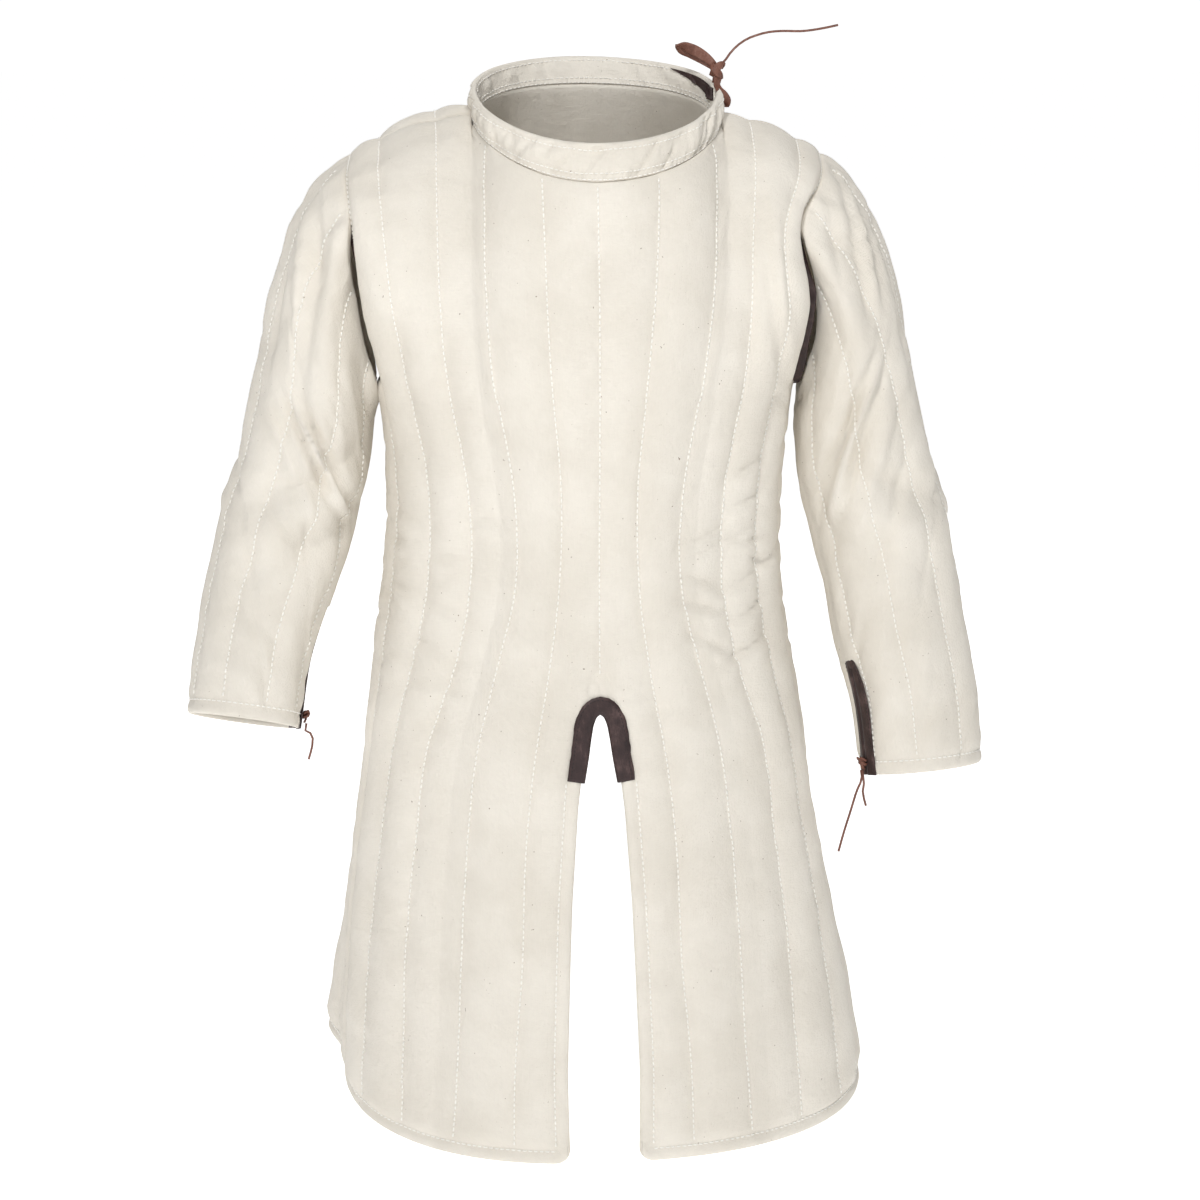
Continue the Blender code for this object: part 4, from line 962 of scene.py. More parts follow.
@dataclass
class BodyForm:
    """Middle surface of the body's cloth, as a function of row and column.

    A row runs 0 to 1 on the yoke and 1 to 2 below it. A column runs 0 to 6 from the centre to the
    side seam, and stands on a quilted line at each whole number up to 5, the armhole's line.
    """

    wall_half: float = .0025
    neck_half: float = .11
    neck_shift: float = .008
    neck_front: float = .11
    neck_back: float = .078
    neck_end: float = 7 / 3
    shoulder_tip: float = .213
    shoulder_start: float = -.008
    shoulder_fall: float = .032
    shoulder_bend: float = 1.7
    armpit_drop: float = .25
    hem_front: float = .942
    hem_back: float = .888
    hem_right: float = .918
    hem_left: float = .936
    roundness: float = 2.3
    flute_reach: float = .045
    armhole_centre: float = -.15
    edge_at: float = .2
    stitch_at: float = .45
    sections: list[Section] = field(default_factory=lambda: [
        Section(.2, .196, .194, 0.0, .135, .112),
        Section(.25, .187, .184, 0.0, .135, .112),
        Section(.32, .182, .176, 0.0, .132, .104),
        Section(.42, .187, .176, 0.0, .128, .1),
        Section(.49, .196, .184, 0.0, .134, .112),
        Section(.57, .204, .199, 0.0, .146, .126),
        Section(.65, .214, .21, .003, .156, .136),
        Section(.76, .227, .232, .012, .168, .15),
        Section(.86, .235, .254, .028, .18, .164),
        Section(.945, .238, .267, .04, .19, .176)])
    quilting: list[Quilting] = field(default_factory=lambda: [
        Quilting(.25, .04, .088, .132, .177, .236),
        Quilting(.32, .034, .076, .118, .16, .213),
        Quilting(.42, .036, .075, .116, .16, .214),
        Quilting(.49, .045, .092, .131, .176, .225),
        Quilting(.57, .059, .112, .161, .203, .25),
        Quilting(.65, .068, .122, .174, .22, .274),
        Quilting(.76, .073, .13, .187, .24, .292),
        Quilting(.86, .081, .135, .192, .25, .305),
        Quilting(.945, .083, .142, .197, .258, .312)])
    slit: list[SlitLevel] = field(default_factory=lambda: [
        SlitLevel(.25, .008, .02, 0.0), SlitLevel(.5, .006, .015, 0.0),
        SlitLevel(.5135, .0045, .012, 0.0), SlitLevel(.5275, .0045, .0175, .004),
        SlitLevel(.5335, .008, .0215, .006), SlitLevel(.547, .011, .0245, .009),
        SlitLevel(.567, .014, .0275, .014), SlitLevel(.59, .018, .0315, .019),
        SlitLevel(.615, .021, .0335, .022), SlitLevel(.7, .027, .0395, .028),
        SlitLevel(.76, .0295, .042, .031), SlitLevel(.86, .033, .0455, .034),
        SlitLevel(.942, .032, .0445, .036)])
    steeps: list[Steep] = field(default_factory=lambda: [
        Steep(0, 74, 74, 74), Steep(1, 66, 62, 62), Steep(2, 42, 20, 30), Steep(7 / 3, 30, -20, 10),
        Steep(3, 14, -38, -8), Steep(5, 7, -22, -4)])
    armholes: dict = field(default_factory=lambda: {
        (-1, -1): [ArmholePlace(.25, .216, .041, -.06), ArmholePlace(.5, .212, .07, -.1),
                   ArmholePlace(.75, .203, .066, -.165)],
        (-1, 1): [ArmholePlace(.25, .212, .04, -.06), ArmholePlace(.5, .202, .068, -.1),
                  ArmholePlace(.75, .198, .066, -.165)],
        (1, -1): [ArmholePlace(.25, .206, .044, -.063), ArmholePlace(.5, .182, .072, -.102),
                  ArmholePlace(.75, .19, .07, -.165)],
        (1, 1): [ArmholePlace(.25, .212, .04, -.06), ArmholePlace(.5, .202, .068, -.1),
                 ArmholePlace(.75, .198, .066, -.165)]})

    def __post_init__(self) -> None:
        """Work out each quarter of the body's section at close levels."""
        self.levels = np.arange(.18, 1.0, .004)
        self.shares = np.linspace(0, 1, 241)
        self.quarters: dict = {}
        turn = np.linspace(0, math.pi / 2, 321)
        drops = column_of(self.sections, "drop")
        for side in (-1, 1):
            for face in (-1, 1):
                half = smooth(drops, column_of(self.sections, "right" if side < 0 else "left"), self.levels)
                depth = smooth(drops, column_of(self.sections, "front" if face < 0 else "back"), self.levels)
                flute = smooth(drops, column_of(self.sections, "flute"), self.levels)
                flute = flute * (1.0 if side < 0 < face else 0.0)
                fore = depth[:, None] * np.cos(turn) ** (2 / self.roundness)
                fore[:, -1] = 0
                across = (half + flute)[:, None] * np.sin(turn) ** (2 / self.roundness)
                across = across - flute[:, None] * np.exp(-(fore / self.flute_reach) ** 2)
                run = np.concatenate([np.zeros((len(self.levels), 1)),
                                      np.cumsum(np.hypot(np.diff(across), np.diff(fore)), axis=1)], axis=1)
                even = np.array([[np.interp(self.shares * run[k, -1], run[k], row[k])
                                  for row in (across, fore)] for k in range(len(self.levels))])
                self.quarters[side, face] = (even[:, 0], even[:, 1], run[:, -1])

    def length(self, side: int, face: int, drop: Array) -> Array:
        """Length of a quarter of the section, from the centre to the side seam."""
        return np.interp(drop, self.levels, self.quarters[side, face][2])

    def section_point(self, side: int, face: int, drop: Array, along: Array) -> Array:
        """Point of the lower body at a drop and a distance from the centre."""
        across, fore, _ = self.quarters[side, face]
        level = np.clip((drop - self.levels[0]) / .004, 0, len(self.levels) - 1.001)
        spot = np.clip(along / self.length(side, face, drop) * 240, 0, 239.999)
        i, j = level.astype(int), spot.astype(int)
        a, b = level - i, spot - j
        values = []
        for table in (across, fore):
            low = table[i, j] * (1 - b) + table[i, j + 1] * b
            high = table[i + 1, j] * (1 - b) + table[i + 1, j + 1] * b
            values.append(low * (1 - a) + high * a)
        return np.stack([side * values[0], face * values[1], -drop], -1)

    def armpit(self, column: Array) -> Array:
        """Drop at which a column passes from the yoke to the lower body."""
        low = self.armpit_drop
        return np.interp(column, [0, 4, 5, 5.5, 6], [low, low, low - .012, low, low + .003])

    def lower(self, side: int, face: int, rows: Array, columns: Array) -> Array:
        """Points of the lower body for rows from 1 to 2."""
        share = rows[:, None] - 1
        column = np.broadcast_to(columns[None, :], (len(rows), len(columns)))
        centre = self.hem_front if face < 0 else self.hem_back
        hem_side = self.hem_right if side < 0 else self.hem_left
        hem = centre + (hem_side - centre) * (column / 6) ** 2
        drop = self.armpit(column) + (hem - self.armpit(column)) * share
        cut = np.maximum(self.armpit_drop + (self.hem_front - self.armpit_drop) * share, self.armpit_drop)
        total = self.length(side, face, drop)
        stretch = total / self.length(side, -1, drop)
        along = self.line_place(np.broadcast_to(cut, column.shape), column, total, stretch, face)
        return self.section_point(side, face, drop, along)

    def line_place(self, cut: Array, column: Array, total: Array, stretch: Array, face: int) -> Array:
        """Distance of a column from the centre, along its section."""
        levels = column_of(self.slit, "drop")
        spread = np.interp(cut, levels, column_of(self.slit, "spread")) * (1.0 if face > 0 else 0.0)
        places = [np.zeros_like(cut), np.interp(cut, levels, column_of(self.slit, "edge")) + spread,
                  np.interp(cut, levels, column_of(self.slit, "stitch")) + spread]
        for k, name in enumerate(("line1", "line2", "line3", "line4", "line5"), 1):
            own = smooth(column_of(self.quilting, "drop"), column_of(self.quilting, name), cut)
            places.append(own * stretch + spread * (1 - k / 6))
        places.append(total)
        knots = np.array([0, self.edge_at, self.stitch_at, 1, 2, 3, 4, 5, 6])
        i = np.clip(np.searchsorted(knots, column, side="right") - 1, 0, len(knots) - 2)
        share = (column - knots[i]) / (knots[i + 1] - knots[i])
        stack = np.array(places)
        low = np.take_along_axis(stack, i[None], 0)[0]
        high = np.take_along_axis(stack, i[None] + 1, 0)[0]
        return low + (high - low) * share

    def neck_turn(self, column: Any) -> Array:
        """Degrees round the neckline from the centre, for a column."""
        return np.interp(column, [0, 1, 2, self.neck_end], [0, 27, 65, 90])

    def neck(self, side: int, face: int, turn: Any) -> Array:
        """Point of the neckline; turn runs from 0 at the centre to 90 at the shoulder seam."""
        angle = np.radians(turn)
        depth = self.neck_front if face < 0 else self.neck_back
        around = angle if face < 0 else math.pi - angle
        height = -.0135 - .041 * np.cos(around) - .0055 * np.cos(2 * around)
        return np.stack([(side * self.neck_half + self.neck_shift) * np.sin(angle),
                         face * depth * np.cos(angle), height], -1)

    def shoulder(self, side: int, share: Any) -> Array:
        """Point of the shoulder seam, from the neck to the shoulder tip."""
        share = np.asarray(share, float)
        start = side * self.neck_half + self.neck_shift
        x = start + (side * self.shoulder_tip - start) * share
        return np.stack([x, np.zeros_like(x), self.shoulder_start - self.shoulder_fall
                         * np.maximum(share, 0) ** self.shoulder_bend], -1)

    def top(self, side: int, face: int, columns: Array) -> Array:
        """Points of the panel's top edge: the neckline, then the shoulder seam."""
        on_neck = self.neck(side, face, self.neck_turn(columns))
        on_seam = self.shoulder(side, np.interp(columns, [self.neck_end, 3, 4, 5], [0, .31, .76, 1]))
        return np.where((columns <= self.neck_end)[:, None], on_neck, on_seam)

    def yoke(self, side: int, face: int, rows: Array, columns: Array) -> Array:
        """Points of the yoke before its edge is drawn to the armhole."""
        part = "front" if face < 0 else "back_right" if side < 0 else "back_left"
        steep = np.radians(np.interp(columns, column_of(self.steeps, "column"), column_of(self.steeps, part)))
        top = self.top(side, face, columns)
        ends = self.lower(side, face, np.array([1, 1.01]), columns)
        bottom, below = ends[0], ends[1]
        reach = np.linalg.norm(bottom - top, axis=-1, keepdims=True)
        start = np.stack([np.zeros_like(steep), face * np.cos(steep), -np.sin(steep)], -1) * reach * 1.15
        share = rows[:, None, None]
        return hermite(top[None], start[None], bottom[None], (unit(below - bottom) * reach * .9)[None], share)

    def armhole(self, side: int, face: int, rows: Array) -> Array:
        """Points of the armhole edge, from the shoulder tip to the armpit."""
        table = self.armholes[side, face]
        places = [self.shoulder(side, 1.0)]
        places += [np.array([side * row.x, face * row.y, row.z]) for row in table]
        places.append(self.lower(side, face, np.array([1.0]), np.array([5.0]))[0, 0])
        return smooth([0, *column_of(table, "share"), 1], places, rows)

    def points(self, side: int, face: int, rows: Array, columns: Array) -> Array:
        """Points of the body for rows from 0 to 2."""
        upper, lower = rows[rows < 1], rows[rows >= 1]
        kept = np.minimum(columns, 5)
        pull = np.clip((kept - self.neck_end) / (5 - self.neck_end), 0, 1)
        pull = (pull * pull * (3 - 2 * pull))[None, :, None]
        high = self.yoke(side, face, upper, kept)
        edge = self.armhole(side, face, upper) - self.yoke(side, face, upper, np.array([5.0]))[:, 0]
        high = high + pull * edge[:, None]
        return np.vstack([high, self.lower(side, face, lower, columns)])

    def armhole_normal(self, side: int, points: Array) -> Array:
        """Outward direction that the body and the sleeve share at the armhole seam."""
        radial = unit(np.stack([points[..., 1], points[..., 2] - self.armhole_centre], -1))
        return unit(np.concatenate([np.full(radial.shape[:-1] + (1,), side * .35), radial], -1))


class View(Enum):
    """Direction from which a crease is drawn: the two axes it is drawn in, and its outward axis."""

    FRONT = (0, 2, 1, -1)
    BACK = (0, 2, 1, 1)
    RIGHT = (1, 2, 0, -1)
    LEFT = (1, 2, 0, 1)


class Crease(NamedTuple):
    """Soft trough or ridge in the cloth, from one place of a view to another."""

    view: View
    start: tuple[float, float]
    end: tuple[float, float]
    width: float
    height: float
    bend: float = 0.0


def creased(points: Array, normals: Array, creases: Sequence[Crease]) -> Array:
    """Height that creases add to a cloth.

    Args:
        points: places on the cloth.
        normals: outward directions.
        creases: the troughs and ridges.

    Returns:
        Height for each place.
    """
    total = np.zeros(points.shape[:-1])
    for crease in creases:
        first, second, outward, sign = crease.view.value
        spot = np.stack([points[..., first], points[..., second]], -1)
        start, end = np.array(crease.start), np.array(crease.end)
        line = end - start
        length = np.linalg.norm(line)
        along = (spot - start) @ line / length ** 2
        off = (spot - start) @ np.array([-line[1], line[0]]) / length
        off = off - crease.bend * 4 * np.clip(along, 0, 1) * (1 - np.clip(along, 0, 1))
        taper = np.sin(math.pi * np.clip(along, 0, 1)) ** .8
        uneven = 1 + .35 * ripple(7, along * 3.1 + crease.start[0] * 40, off * 0 + crease.start[1] * 30)
        facing = np.clip(normals[..., outward] * sign * 2.5, 0, 1)
        total += crease.height * taper * facing * uneven * np.exp(-(off / crease.width) ** 2)
    return total


def strokes(view: View, *rows: tuple[float, ...]) -> list[Crease]:
    """Creases of one view, from rows of start, end, width, height and bend."""
    return [Crease(view, row[:2], row[2:4], *row[4:]) for row in rows]


def front_creases() -> list[Crease]:
    """Creases of the front: at the waist, beside the armholes and above the slit."""
    front, waist, ridge = View.FRONT, .0034, .0052
    left = [((.07, -.379), (.112, -.365)), ((.071, -.391), (.148, -.366)), ((.109, -.426), (.16, -.406)),
            ((.074, -.406), (.112, -.421)), ((.074, -.432), (.116, -.442)), ((.114, -.457), (.162, -.436)),
            ((.138, -.398), (.16, -.408)), ((.122, -.318), (.148, -.303)), ((.08, -.461), (.116, -.479)),
            ((.118, -.348), (.152, -.336)), ((.12, -.378), (.158, -.384)), ((.112, -.492), (.16, -.47))]
    right = [((-.155, -.432), (-.112, -.441)), ((-.186, -.35), (-.15, -.362)),
             ((-.151, -.391), (-.112, -.385)), ((-.166, -.499), (-.112, -.511)),
             ((-.186, -.484), (-.16, -.493)), ((-.184, -.419), (-.152, -.431)),
             ((-.178, -.465), (-.13, -.477)), ((-.11, -.35), (-.074, -.356)),
             ((-.184, -.385), (-.158, -.379))]
    left = [((1.18 * a[0] - .18 * b[0], 1.18 * a[1] - .18 * b[1]),
             (1.12 * b[0] - .12 * a[0], 1.12 * b[1] - .12 * a[1])) for a, b in left]
    folds = [Crease(front, start, end, waist, -.003) for start, end in left]
    folds += [Crease(front, (a[0] + .002, a[1] - .009), (b[0], b[1] - .009), ridge, .0018) for a, b in left]
    folds += [Crease(front, start, end, .006, -.0026) for start, end in right]
    folds += [Crease(front, (a[0], a[1] - .01), (b[0], b[1] - .01), ridge, .0016) for a, b in right]
    slit = strokes(front, (.013, -.521, .05, -.506, .0035, -.0022),
            (.016, -.528, .04, -.5, .003, .0016), (.03, -.533, .092, -.522, .005, -.002),
            (-.074, -.449, -.019, -.514, .008, .0018), (-.062, -.47, -.016, -.521, .005, -.0014),
            (-.08, -.52, -.022, -.53, .006, -.0014))
    chest = strokes(front, (.15, -.06, .168, -.245, .006, -.0036, -.006),
            (.161, -.075, .178, -.235, .005, .0026, -.006), (.168, -.228, .186, -.262, .0035, -.0028),
            (.16, -.246, .184, -.28, .004, -.0022), (-.16, -.06, -.176, -.24, .007, -.0026, .004),
            (-.12, -.03, -.15, -.19, .01, -.0014), (.1, -.03, .128, -.19, .01, -.0014))
    skirt = strokes(front, (.15, -.56, .185, -.9, .014, -.003, .006),
            (.06, -.62, .075, -.93, .012, -.0018), (-.13, -.6, -.15, -.92, .014, -.0024),
            (-.196, -.56, -.215, -.88, .01, -.002))
    return folds + slit + chest + skirt + side_creases()


def side_creases() -> list[Crease]:
    """Creases that run round the body under each arm."""
    folds = []
    for view, seed in ((View.LEFT, 1), (View.RIGHT, -1)):
        for k, drop in enumerate((.3, .335, .366, .398, .428, .46, .496)):
            lean = .012 * math.sin(k * 2.3 + seed)
            start, end = (-.092 + .014 * (k % 3), -drop - lean), (.08 - .018 * (k % 2), -drop + lean)
            deep = .0016 + .0008 * math.sin(k * 4.1 + seed)
            folds.append(Crease(view, start, end, .0045, -deep, .004 * seed))
    return folds


def back_creases() -> list[Crease]:
    """Creases of the back: at the waist, between the shoulders and above the slit."""
    folds = []
    for side in (-1, 1):
        for k, drop in enumerate((.345, .372, .398, .425, .452, .48)):
            vary = math.sin(k * 5.3 + side)
            start = (side * (.07 + .022 * vary), -drop - .006 * side + .004 * vary)
            end = (side * (.158 + .012 * math.sin(k * 2.9)), -drop + .012 * math.sin(k * 3.7 + side))
            folds.append(Crease(View.BACK, start, end, .004, -.0018 - .0008 * vary))
            folds.append(Crease(View.BACK, (start[0], start[1] - .01), (end[0], end[1] - .01), .006, .001))
        folds.append(Crease(View.BACK, (side * .15, -.06), (side * .165, -.235), .007, -.0026))
        folds.append(Crease(View.BACK, (side * .012, -.52), (side * .052, -.505), .0045, -.0022))
        folds.append(Crease(View.BACK, (side * .14, -.58), (side * .175, -.87), .013, -.0028))
        folds.append(Crease(View.BACK, (side * .055, -.6), (side * .075, -.86), .012, -.0016))
    return folds + side_creases()


def right_sleeve_creases() -> list[Crease]:
    """Creases of the wearer's right sleeve: gathers at its head and folds at the bend."""
    front = View.FRONT
    folds = strokes(front, (-.284, -.225, -.228, -.375, .0049, -.0093),
            (-.266, -.24, -.214, -.372, .0045, -.0084), (-.275, -.235, -.221, -.372, .004, .006),
            (-.294, -.25, -.24, -.392, .0045, .0045),
            (-.24, -.062, -.2645, -.27, .0049, -.0066, .005),
            (-.25, -.075, -.274, -.25, .0045, .0042, .004),
            (-.262, -.085, -.288, -.23, .0049, -.0051),
            (-.228, -.07, -.246, -.21, .0045, -.0039),
            (-.3, -.33, -.262, -.395, .0054, -.0033),
            (-.33, -.43, -.282, -.47, .0072, -.0027), (-.342, -.48, -.3, -.505, .0072, .0024))
    back = strokes(View.BACK, (-.29, -.26, -.236, -.33, .0063, -.0051),
            (-.3, -.29, -.25, -.36, .0063, .0039), (-.255, -.08, -.27, -.23, .0063, -.0039),
            (-.32, -.38, -.27, -.42, .0072, -.0033))
    side = strokes(View.RIGHT, (-.03, -.09, -.04, -.26, .0059, -.0042),
            (.02, -.08, .012, -.24, .0059, -.0039), (-.05, -.34, .02, -.3, .0063, -.0039),
            (-.06, -.37, .015, -.335, .0063, .0027))
    return folds + back + side


def left_sleeve_creases() -> list[Crease]:
    """Creases of the wearer's left sleeve: gathers at its head and folds that fan to the bend."""
    front = View.FRONT
    folds = strokes(front, (.258, -.205, .216, -.375, .0049, -.009, -.005),
            (.266, -.222, .232, -.385, .0045, -.0075, -.004),
            (.262, -.212, .224, -.38, .004, .0057, -.005),
            (.248, -.25, .202, -.368, .0045, -.006), (.272, -.26, .245, -.4, .0054, .0039),
            (.22, -.044, .247, -.19, .0045, -.006, .003),
            (.232, -.056, .264, -.185, .0045, -.0051, .003),
            (.226, -.05, .256, -.188, .004, .0045, .003),
            (.208, -.06, .222, -.17, .0054, -.0036), (.292, -.3, .262, -.42, .0063, -.0036),
            (.31, -.44, .268, -.49, .0072, -.0027), (.33, -.54, .29, -.56, .0072, -.0021))
    back = strokes(View.BACK, (.29, -.27, .236, -.34, .0063, -.0051),
            (.3, -.3, .25, -.37, .0063, .0039), (.255, -.08, .272, -.23, .0063, -.0039),
            (.32, -.42, .275, -.46, .0072, -.0033))
    side = strokes(View.LEFT, (-.03, -.09, -.04, -.26, .0059, -.0042),
            (.02, -.08, .012, -.24, .0059, -.0039), (-.05, -.36, .02, -.31, .0063, -.0039),
            (-.055, -.395, .015, -.35, .0063, .0027))
    return folds + back + side


@dataclass
class BodyPanel:
    """Front or back of the body, quilted in lengthwise channels, slit from the hem."""

    form: BodyForm
    face: Face
    creases: list[Crease]
    puff: float = .005
    seam_gap: float = .0003
    slit_top: float = .5275
    slit_above: float = .5135
    hem_stitch: float = .93
    step: int = 2

    def __post_init__(self) -> None:
        """Work out the panel's grids."""
        form, face = self.form, self.face.value
        half = clustered(0, form.edge_at, 4, 0) + [
            form.edge_at + (form.stitch_at - form.edge_at) * k for k in (0, .03, .09, .2, .34, .5, .66, .83)]
        half += clustered(form.stitch_at, 1, 12) + clustered(1, 2, 14) + clustered(2, form.neck_end, 4)
        half += clustered(form.neck_end, 3, 10)
        for line in (3, 4, 5):
            half += clustered(line, line + 1, 14)
        half = np.array(half + [6.0])
        self.half_columns = half
        self.columns = np.concatenate([-half[:0:-1], half])
        self.centre = len(half) - 1
        yoke = [0, .004, .01, .018] + list(np.linspace(.03, .5, 31)[:-1]) + list(np.linspace(.5, 1, 31)[:-1])
        drops = list(np.linspace(form.armpit_drop, self.slit_above, 67)[:-1])
        drops += list(np.linspace(self.slit_above, self.slit_top, 5)[:-1])
        drops += list(np.linspace(self.slit_top, .59, 17)[:-1])
        drops += list(np.linspace(.59, self.hem_stitch, 85)[:-1])
        drops += [.93, .9325, .935, .9372, .939, .9403, .9412, .9418, form.hem_front]
        self.cuts = np.array([form.armpit_drop - 1.0] * len(yoke) + drops)
        lower = 1 + (np.array(drops) - form.armpit_drop) / (form.hem_front - form.armpit_drop)
        self.rows = np.concatenate([yoke, lower])
        self.yoke_rows = len(yoke)
        left = form.points(1, face, self.rows, half)
        right = form.points(-1, face, self.rows, half)
        self.points = np.concatenate([right[:, :0:-1], left], axis=1)
        self.side = np.where(self.columns < 0, -1, 1)
        self.place = np.abs(self.columns)
        self.ease_yoke()
        self.round_corners()
        self.keep_cells()
        self.find_normals()
        self.measure()
        self.raise_cloth()

    def ease_yoke(self) -> None:
        """Smooth the cloth of the yoke below the ends of the neckline."""
        weight = np.clip((self.rows[1:self.yoke_rows] - .03) / .15, 0, 1)[:, None, None] * .5
        for s in (-1, 1):
            c = nearest(self.columns, s * self.form.neck_end)
            for _ in range(14):
                block = self.points[1:self.yoke_rows, c - 6:c + 7]
                even = (block[:, :-2] + block[:, 2:]) / 2
                block[:, 1:-1] += (even - block[:, 1:-1]) * weight

    def round_corners(self, radius: float = .014) -> None:
        """Round the two corners of the hem beside the slit."""
        for s in (-1, 1):
            c = nearest(self.columns, s * self.form.edge_at)
            gap = np.linalg.norm(self.points - self.points[:, [c]], axis=-1)
            gap = np.where(self.columns * s >= self.form.edge_at - 1e-6, gap, 9.0)
            lift = radius - np.sqrt(np.maximum(radius ** 2 - np.maximum(radius - gap, 0) ** 2, 0))
            weight = np.clip((self.cuts - .89) / (self.form.hem_front - .89), 0, 1) ** 2
            self.points[..., 2] += lift * weight[:, None] * .9

    def row_at(self, cut: float) -> int:
        """Row of the grid at a drop of the front's cut."""
        return nearest(self.cuts, cut)

    def keep_cells(self) -> None:
        """Leave out the cells beside the armholes and in the slit."""
        rows = np.arange(0, len(self.rows), self.step)
        columns = self.columns[::self.step]
        self.cells = np.ones((len(rows) - 1, len(columns) - 1), bool)
        middles = np.abs(columns[1:] + columns[:-1]) / 2
        self.cells[np.ix_(rows[:-1] < self.yoke_rows, middles > 5)] = False
        self.cells[np.ix_(rows[:-1] >= self.row_at(self.slit_top), middles < self.form.edge_at)] = False
        self.fine_cells = np.repeat(np.repeat(self.cells, self.step, 0), self.step, 1)

    def find_normals(self) -> None:
        """Find outward directions, shared with the neighbours at the seams."""
        normals = grid_normals(self.points, self.fine_cells, False)
        reference = np.array([0, self.face.value, 0])
        row = self.row_at(.4)
        if np.dot(normals[row, self.centre], reference) < 0:
            normals = -normals
        for c in (0, -1):
            normals[self.yoke_rows:, c, 1] = 0
        normals[0, self.place >= self.form.neck_end, 1] = 0
        normals = unit(normals)
        for side in (-1, 1):
            edge = nearest(self.columns, 5 * side)
            shared = self.form.armhole_normal(side, self.points[:self.yoke_rows, edge])
            near = self.points[:self.yoke_rows] - self.points[:self.yoke_rows, edge][:, None]
            weight = np.exp(-(np.linalg.norm(near, axis=-1) / .008) ** 2)
            weight = weight * np.clip((.75 - self.rows[:self.yoke_rows]) / .25, 0, 1)[:, None]
            weight = (weight * (self.side == side))[..., None]
            own = normals[:self.yoke_rows] * (1 - weight)
            normals[:self.yoke_rows] = unit(own + shared[:, None] * weight)
        self.normals = normals
        seam = np.abs(self.points[..., 1]) < 1e-9
        self.points[..., 1] += np.where(seam, self.face.value * self.seam_gap / 2, 0)

    def measure(self) -> None:
        """Measure places on the cloth and distances from its edges and quilted lines."""
        run = running(self.points, axis=1)
        self.across = run - run[:, self.centre][:, None]
        self.down = running(self.points, axis=0)
        lines = [s * k for k in (0, 1, 2, 3, 4, 5) for s in (-1, 1)]
        self.line_columns = sorted({nearest(self.columns, k) for k in lines})
        close = np.full(run.shape, 9.0)
        for c in self.line_columns:
            close = np.minimum(close, np.abs(self.across - self.across[:, [c]]))
        self.from_line = close
        free = np.full(run.shape, 9.0)
        free = np.minimum(free, self.down[-1][None] - self.down)
        below = self.rows >= self.rows[self.row_at(self.slit_top)]
        for s in (-1, 1):
            c = nearest(self.columns, s * self.form.edge_at)
            gap = np.abs(self.across - self.across[:, [c]])
            free[below] = np.minimum(free, gap)[below]
            e = nearest(self.columns, 5 * s)
            gap = np.abs(self.across - self.across[:, [e]])
            upper = (np.arange(len(self.rows)) < self.yoke_rows) & (self.rows > .5)
            free[upper] = np.where(self.side[None] == s, np.minimum(free, gap), free)[upper]
        self.from_free = free
        seam = np.minimum(self.down, 9.0)
        for s in (-1, 1):
            gap = np.abs(self.across - self.across[:, [0 if s < 0 else -1]])
            seam[self.yoke_rows:] = np.minimum(seam, gap)[self.yoke_rows:]
            e = nearest(self.columns, 5 * s)
            gap = np.abs(self.across - self.across[:, [e]])
            upper = self.rows <= .5
            seam[upper] = np.where(self.side[None] == s, np.minimum(seam, gap), seam)[upper]
        self.from_seam = seam

    def raise_cloth(self) -> None:
        """Raise the padding, its puckers and creases, and round the edges."""
        stitch = self.form.stitch_at
        slit_row = self.row_at(self.slit_above)
        opened = np.clip((np.arange(len(self.rows)) - slit_row + 10) / 12, 0, 1)[:, None]
        opened = opened * opened * (3 - 2 * opened)
        first = stitch * opened
        middle = np.clip((self.place[None] - first) / (1 - first), 0, 1)
        share = np.where(self.place[None] < 1, middle, (self.place % 1)[None])
        swell = np.clip(1 - np.abs(2 * share - 1) ** 2.1, 0, 1)
        swell = swell * np.where(self.place[None] < 1, .62 + .2 * opened, 1)
        swell = swell * np.clip((self.hem_stitch - self.cuts) / .012, 0, 1)[:, None] ** .6
        swell = swell * rounded(self.down, .016) ** .8
        outside = (self.place[None] > 5) & (np.arange(len(self.rows)) < self.yoke_rows)[:, None]
        swell = np.where(outside, 0, swell)
        relief = self.puff * swell
        u, v = self.across / .03, self.down / .01
        pucker = ripple(3, u + 3, v) * np.exp(-self.from_line / .012) * np.clip(self.from_line / .0025, 0, 1)
        pucker = pucker + ripple(9, u * .6, v * .55 + u * .4) * np.exp(-self.from_line / .02) * .8
        soft = ripple(11, self.across / .055, self.down / .045) * .7 + ripple(5, u * 1.1, v * .42) * .45
        quiet = np.clip(self.from_free / .01, 0, 1) * np.clip(self.from_seam / .01, 0, 1)
        relief = relief + (.0013 * pucker + .0012 * soft * swell) * quiet
        waist = np.exp(-((self.points[..., 2] + .42) / .11) ** 2)
        waist = waist * np.clip((self.place[None] - 1.2) / 1.5, .1, 1)
        slack = wrinkles(19, self.across / .11, self.down / .03 + self.across / .13, .16)
        relief = relief + .0013 * slack * waist * quiet
        relief = relief + creased(self.points, self.normals, self.creases) * quiet
        hem = self.down[-1][None] - self.down
        relief = relief + self.hem_roll(hem)
        below = self.cuts > self.slit_top
        for s in (-1, 1):
            c = nearest(self.columns, s * self.form.edge_at)
            gap = np.abs(self.across - self.across[:, [c]])
            relief[below] += self.hem_roll(gap)[below]
        half = self.form.wall_half * (.12 + .88 * rounded(self.from_free, .0035))
        half = half * (.55 + .45 * rounded(self.from_seam, .003))
        self.outer = self.points + self.normals * (half + relief * rounded(self.from_free, .004))[..., None]
        drawn = np.clip(creased(self.points, self.normals, self.creases) * quiet, -.004, .003)
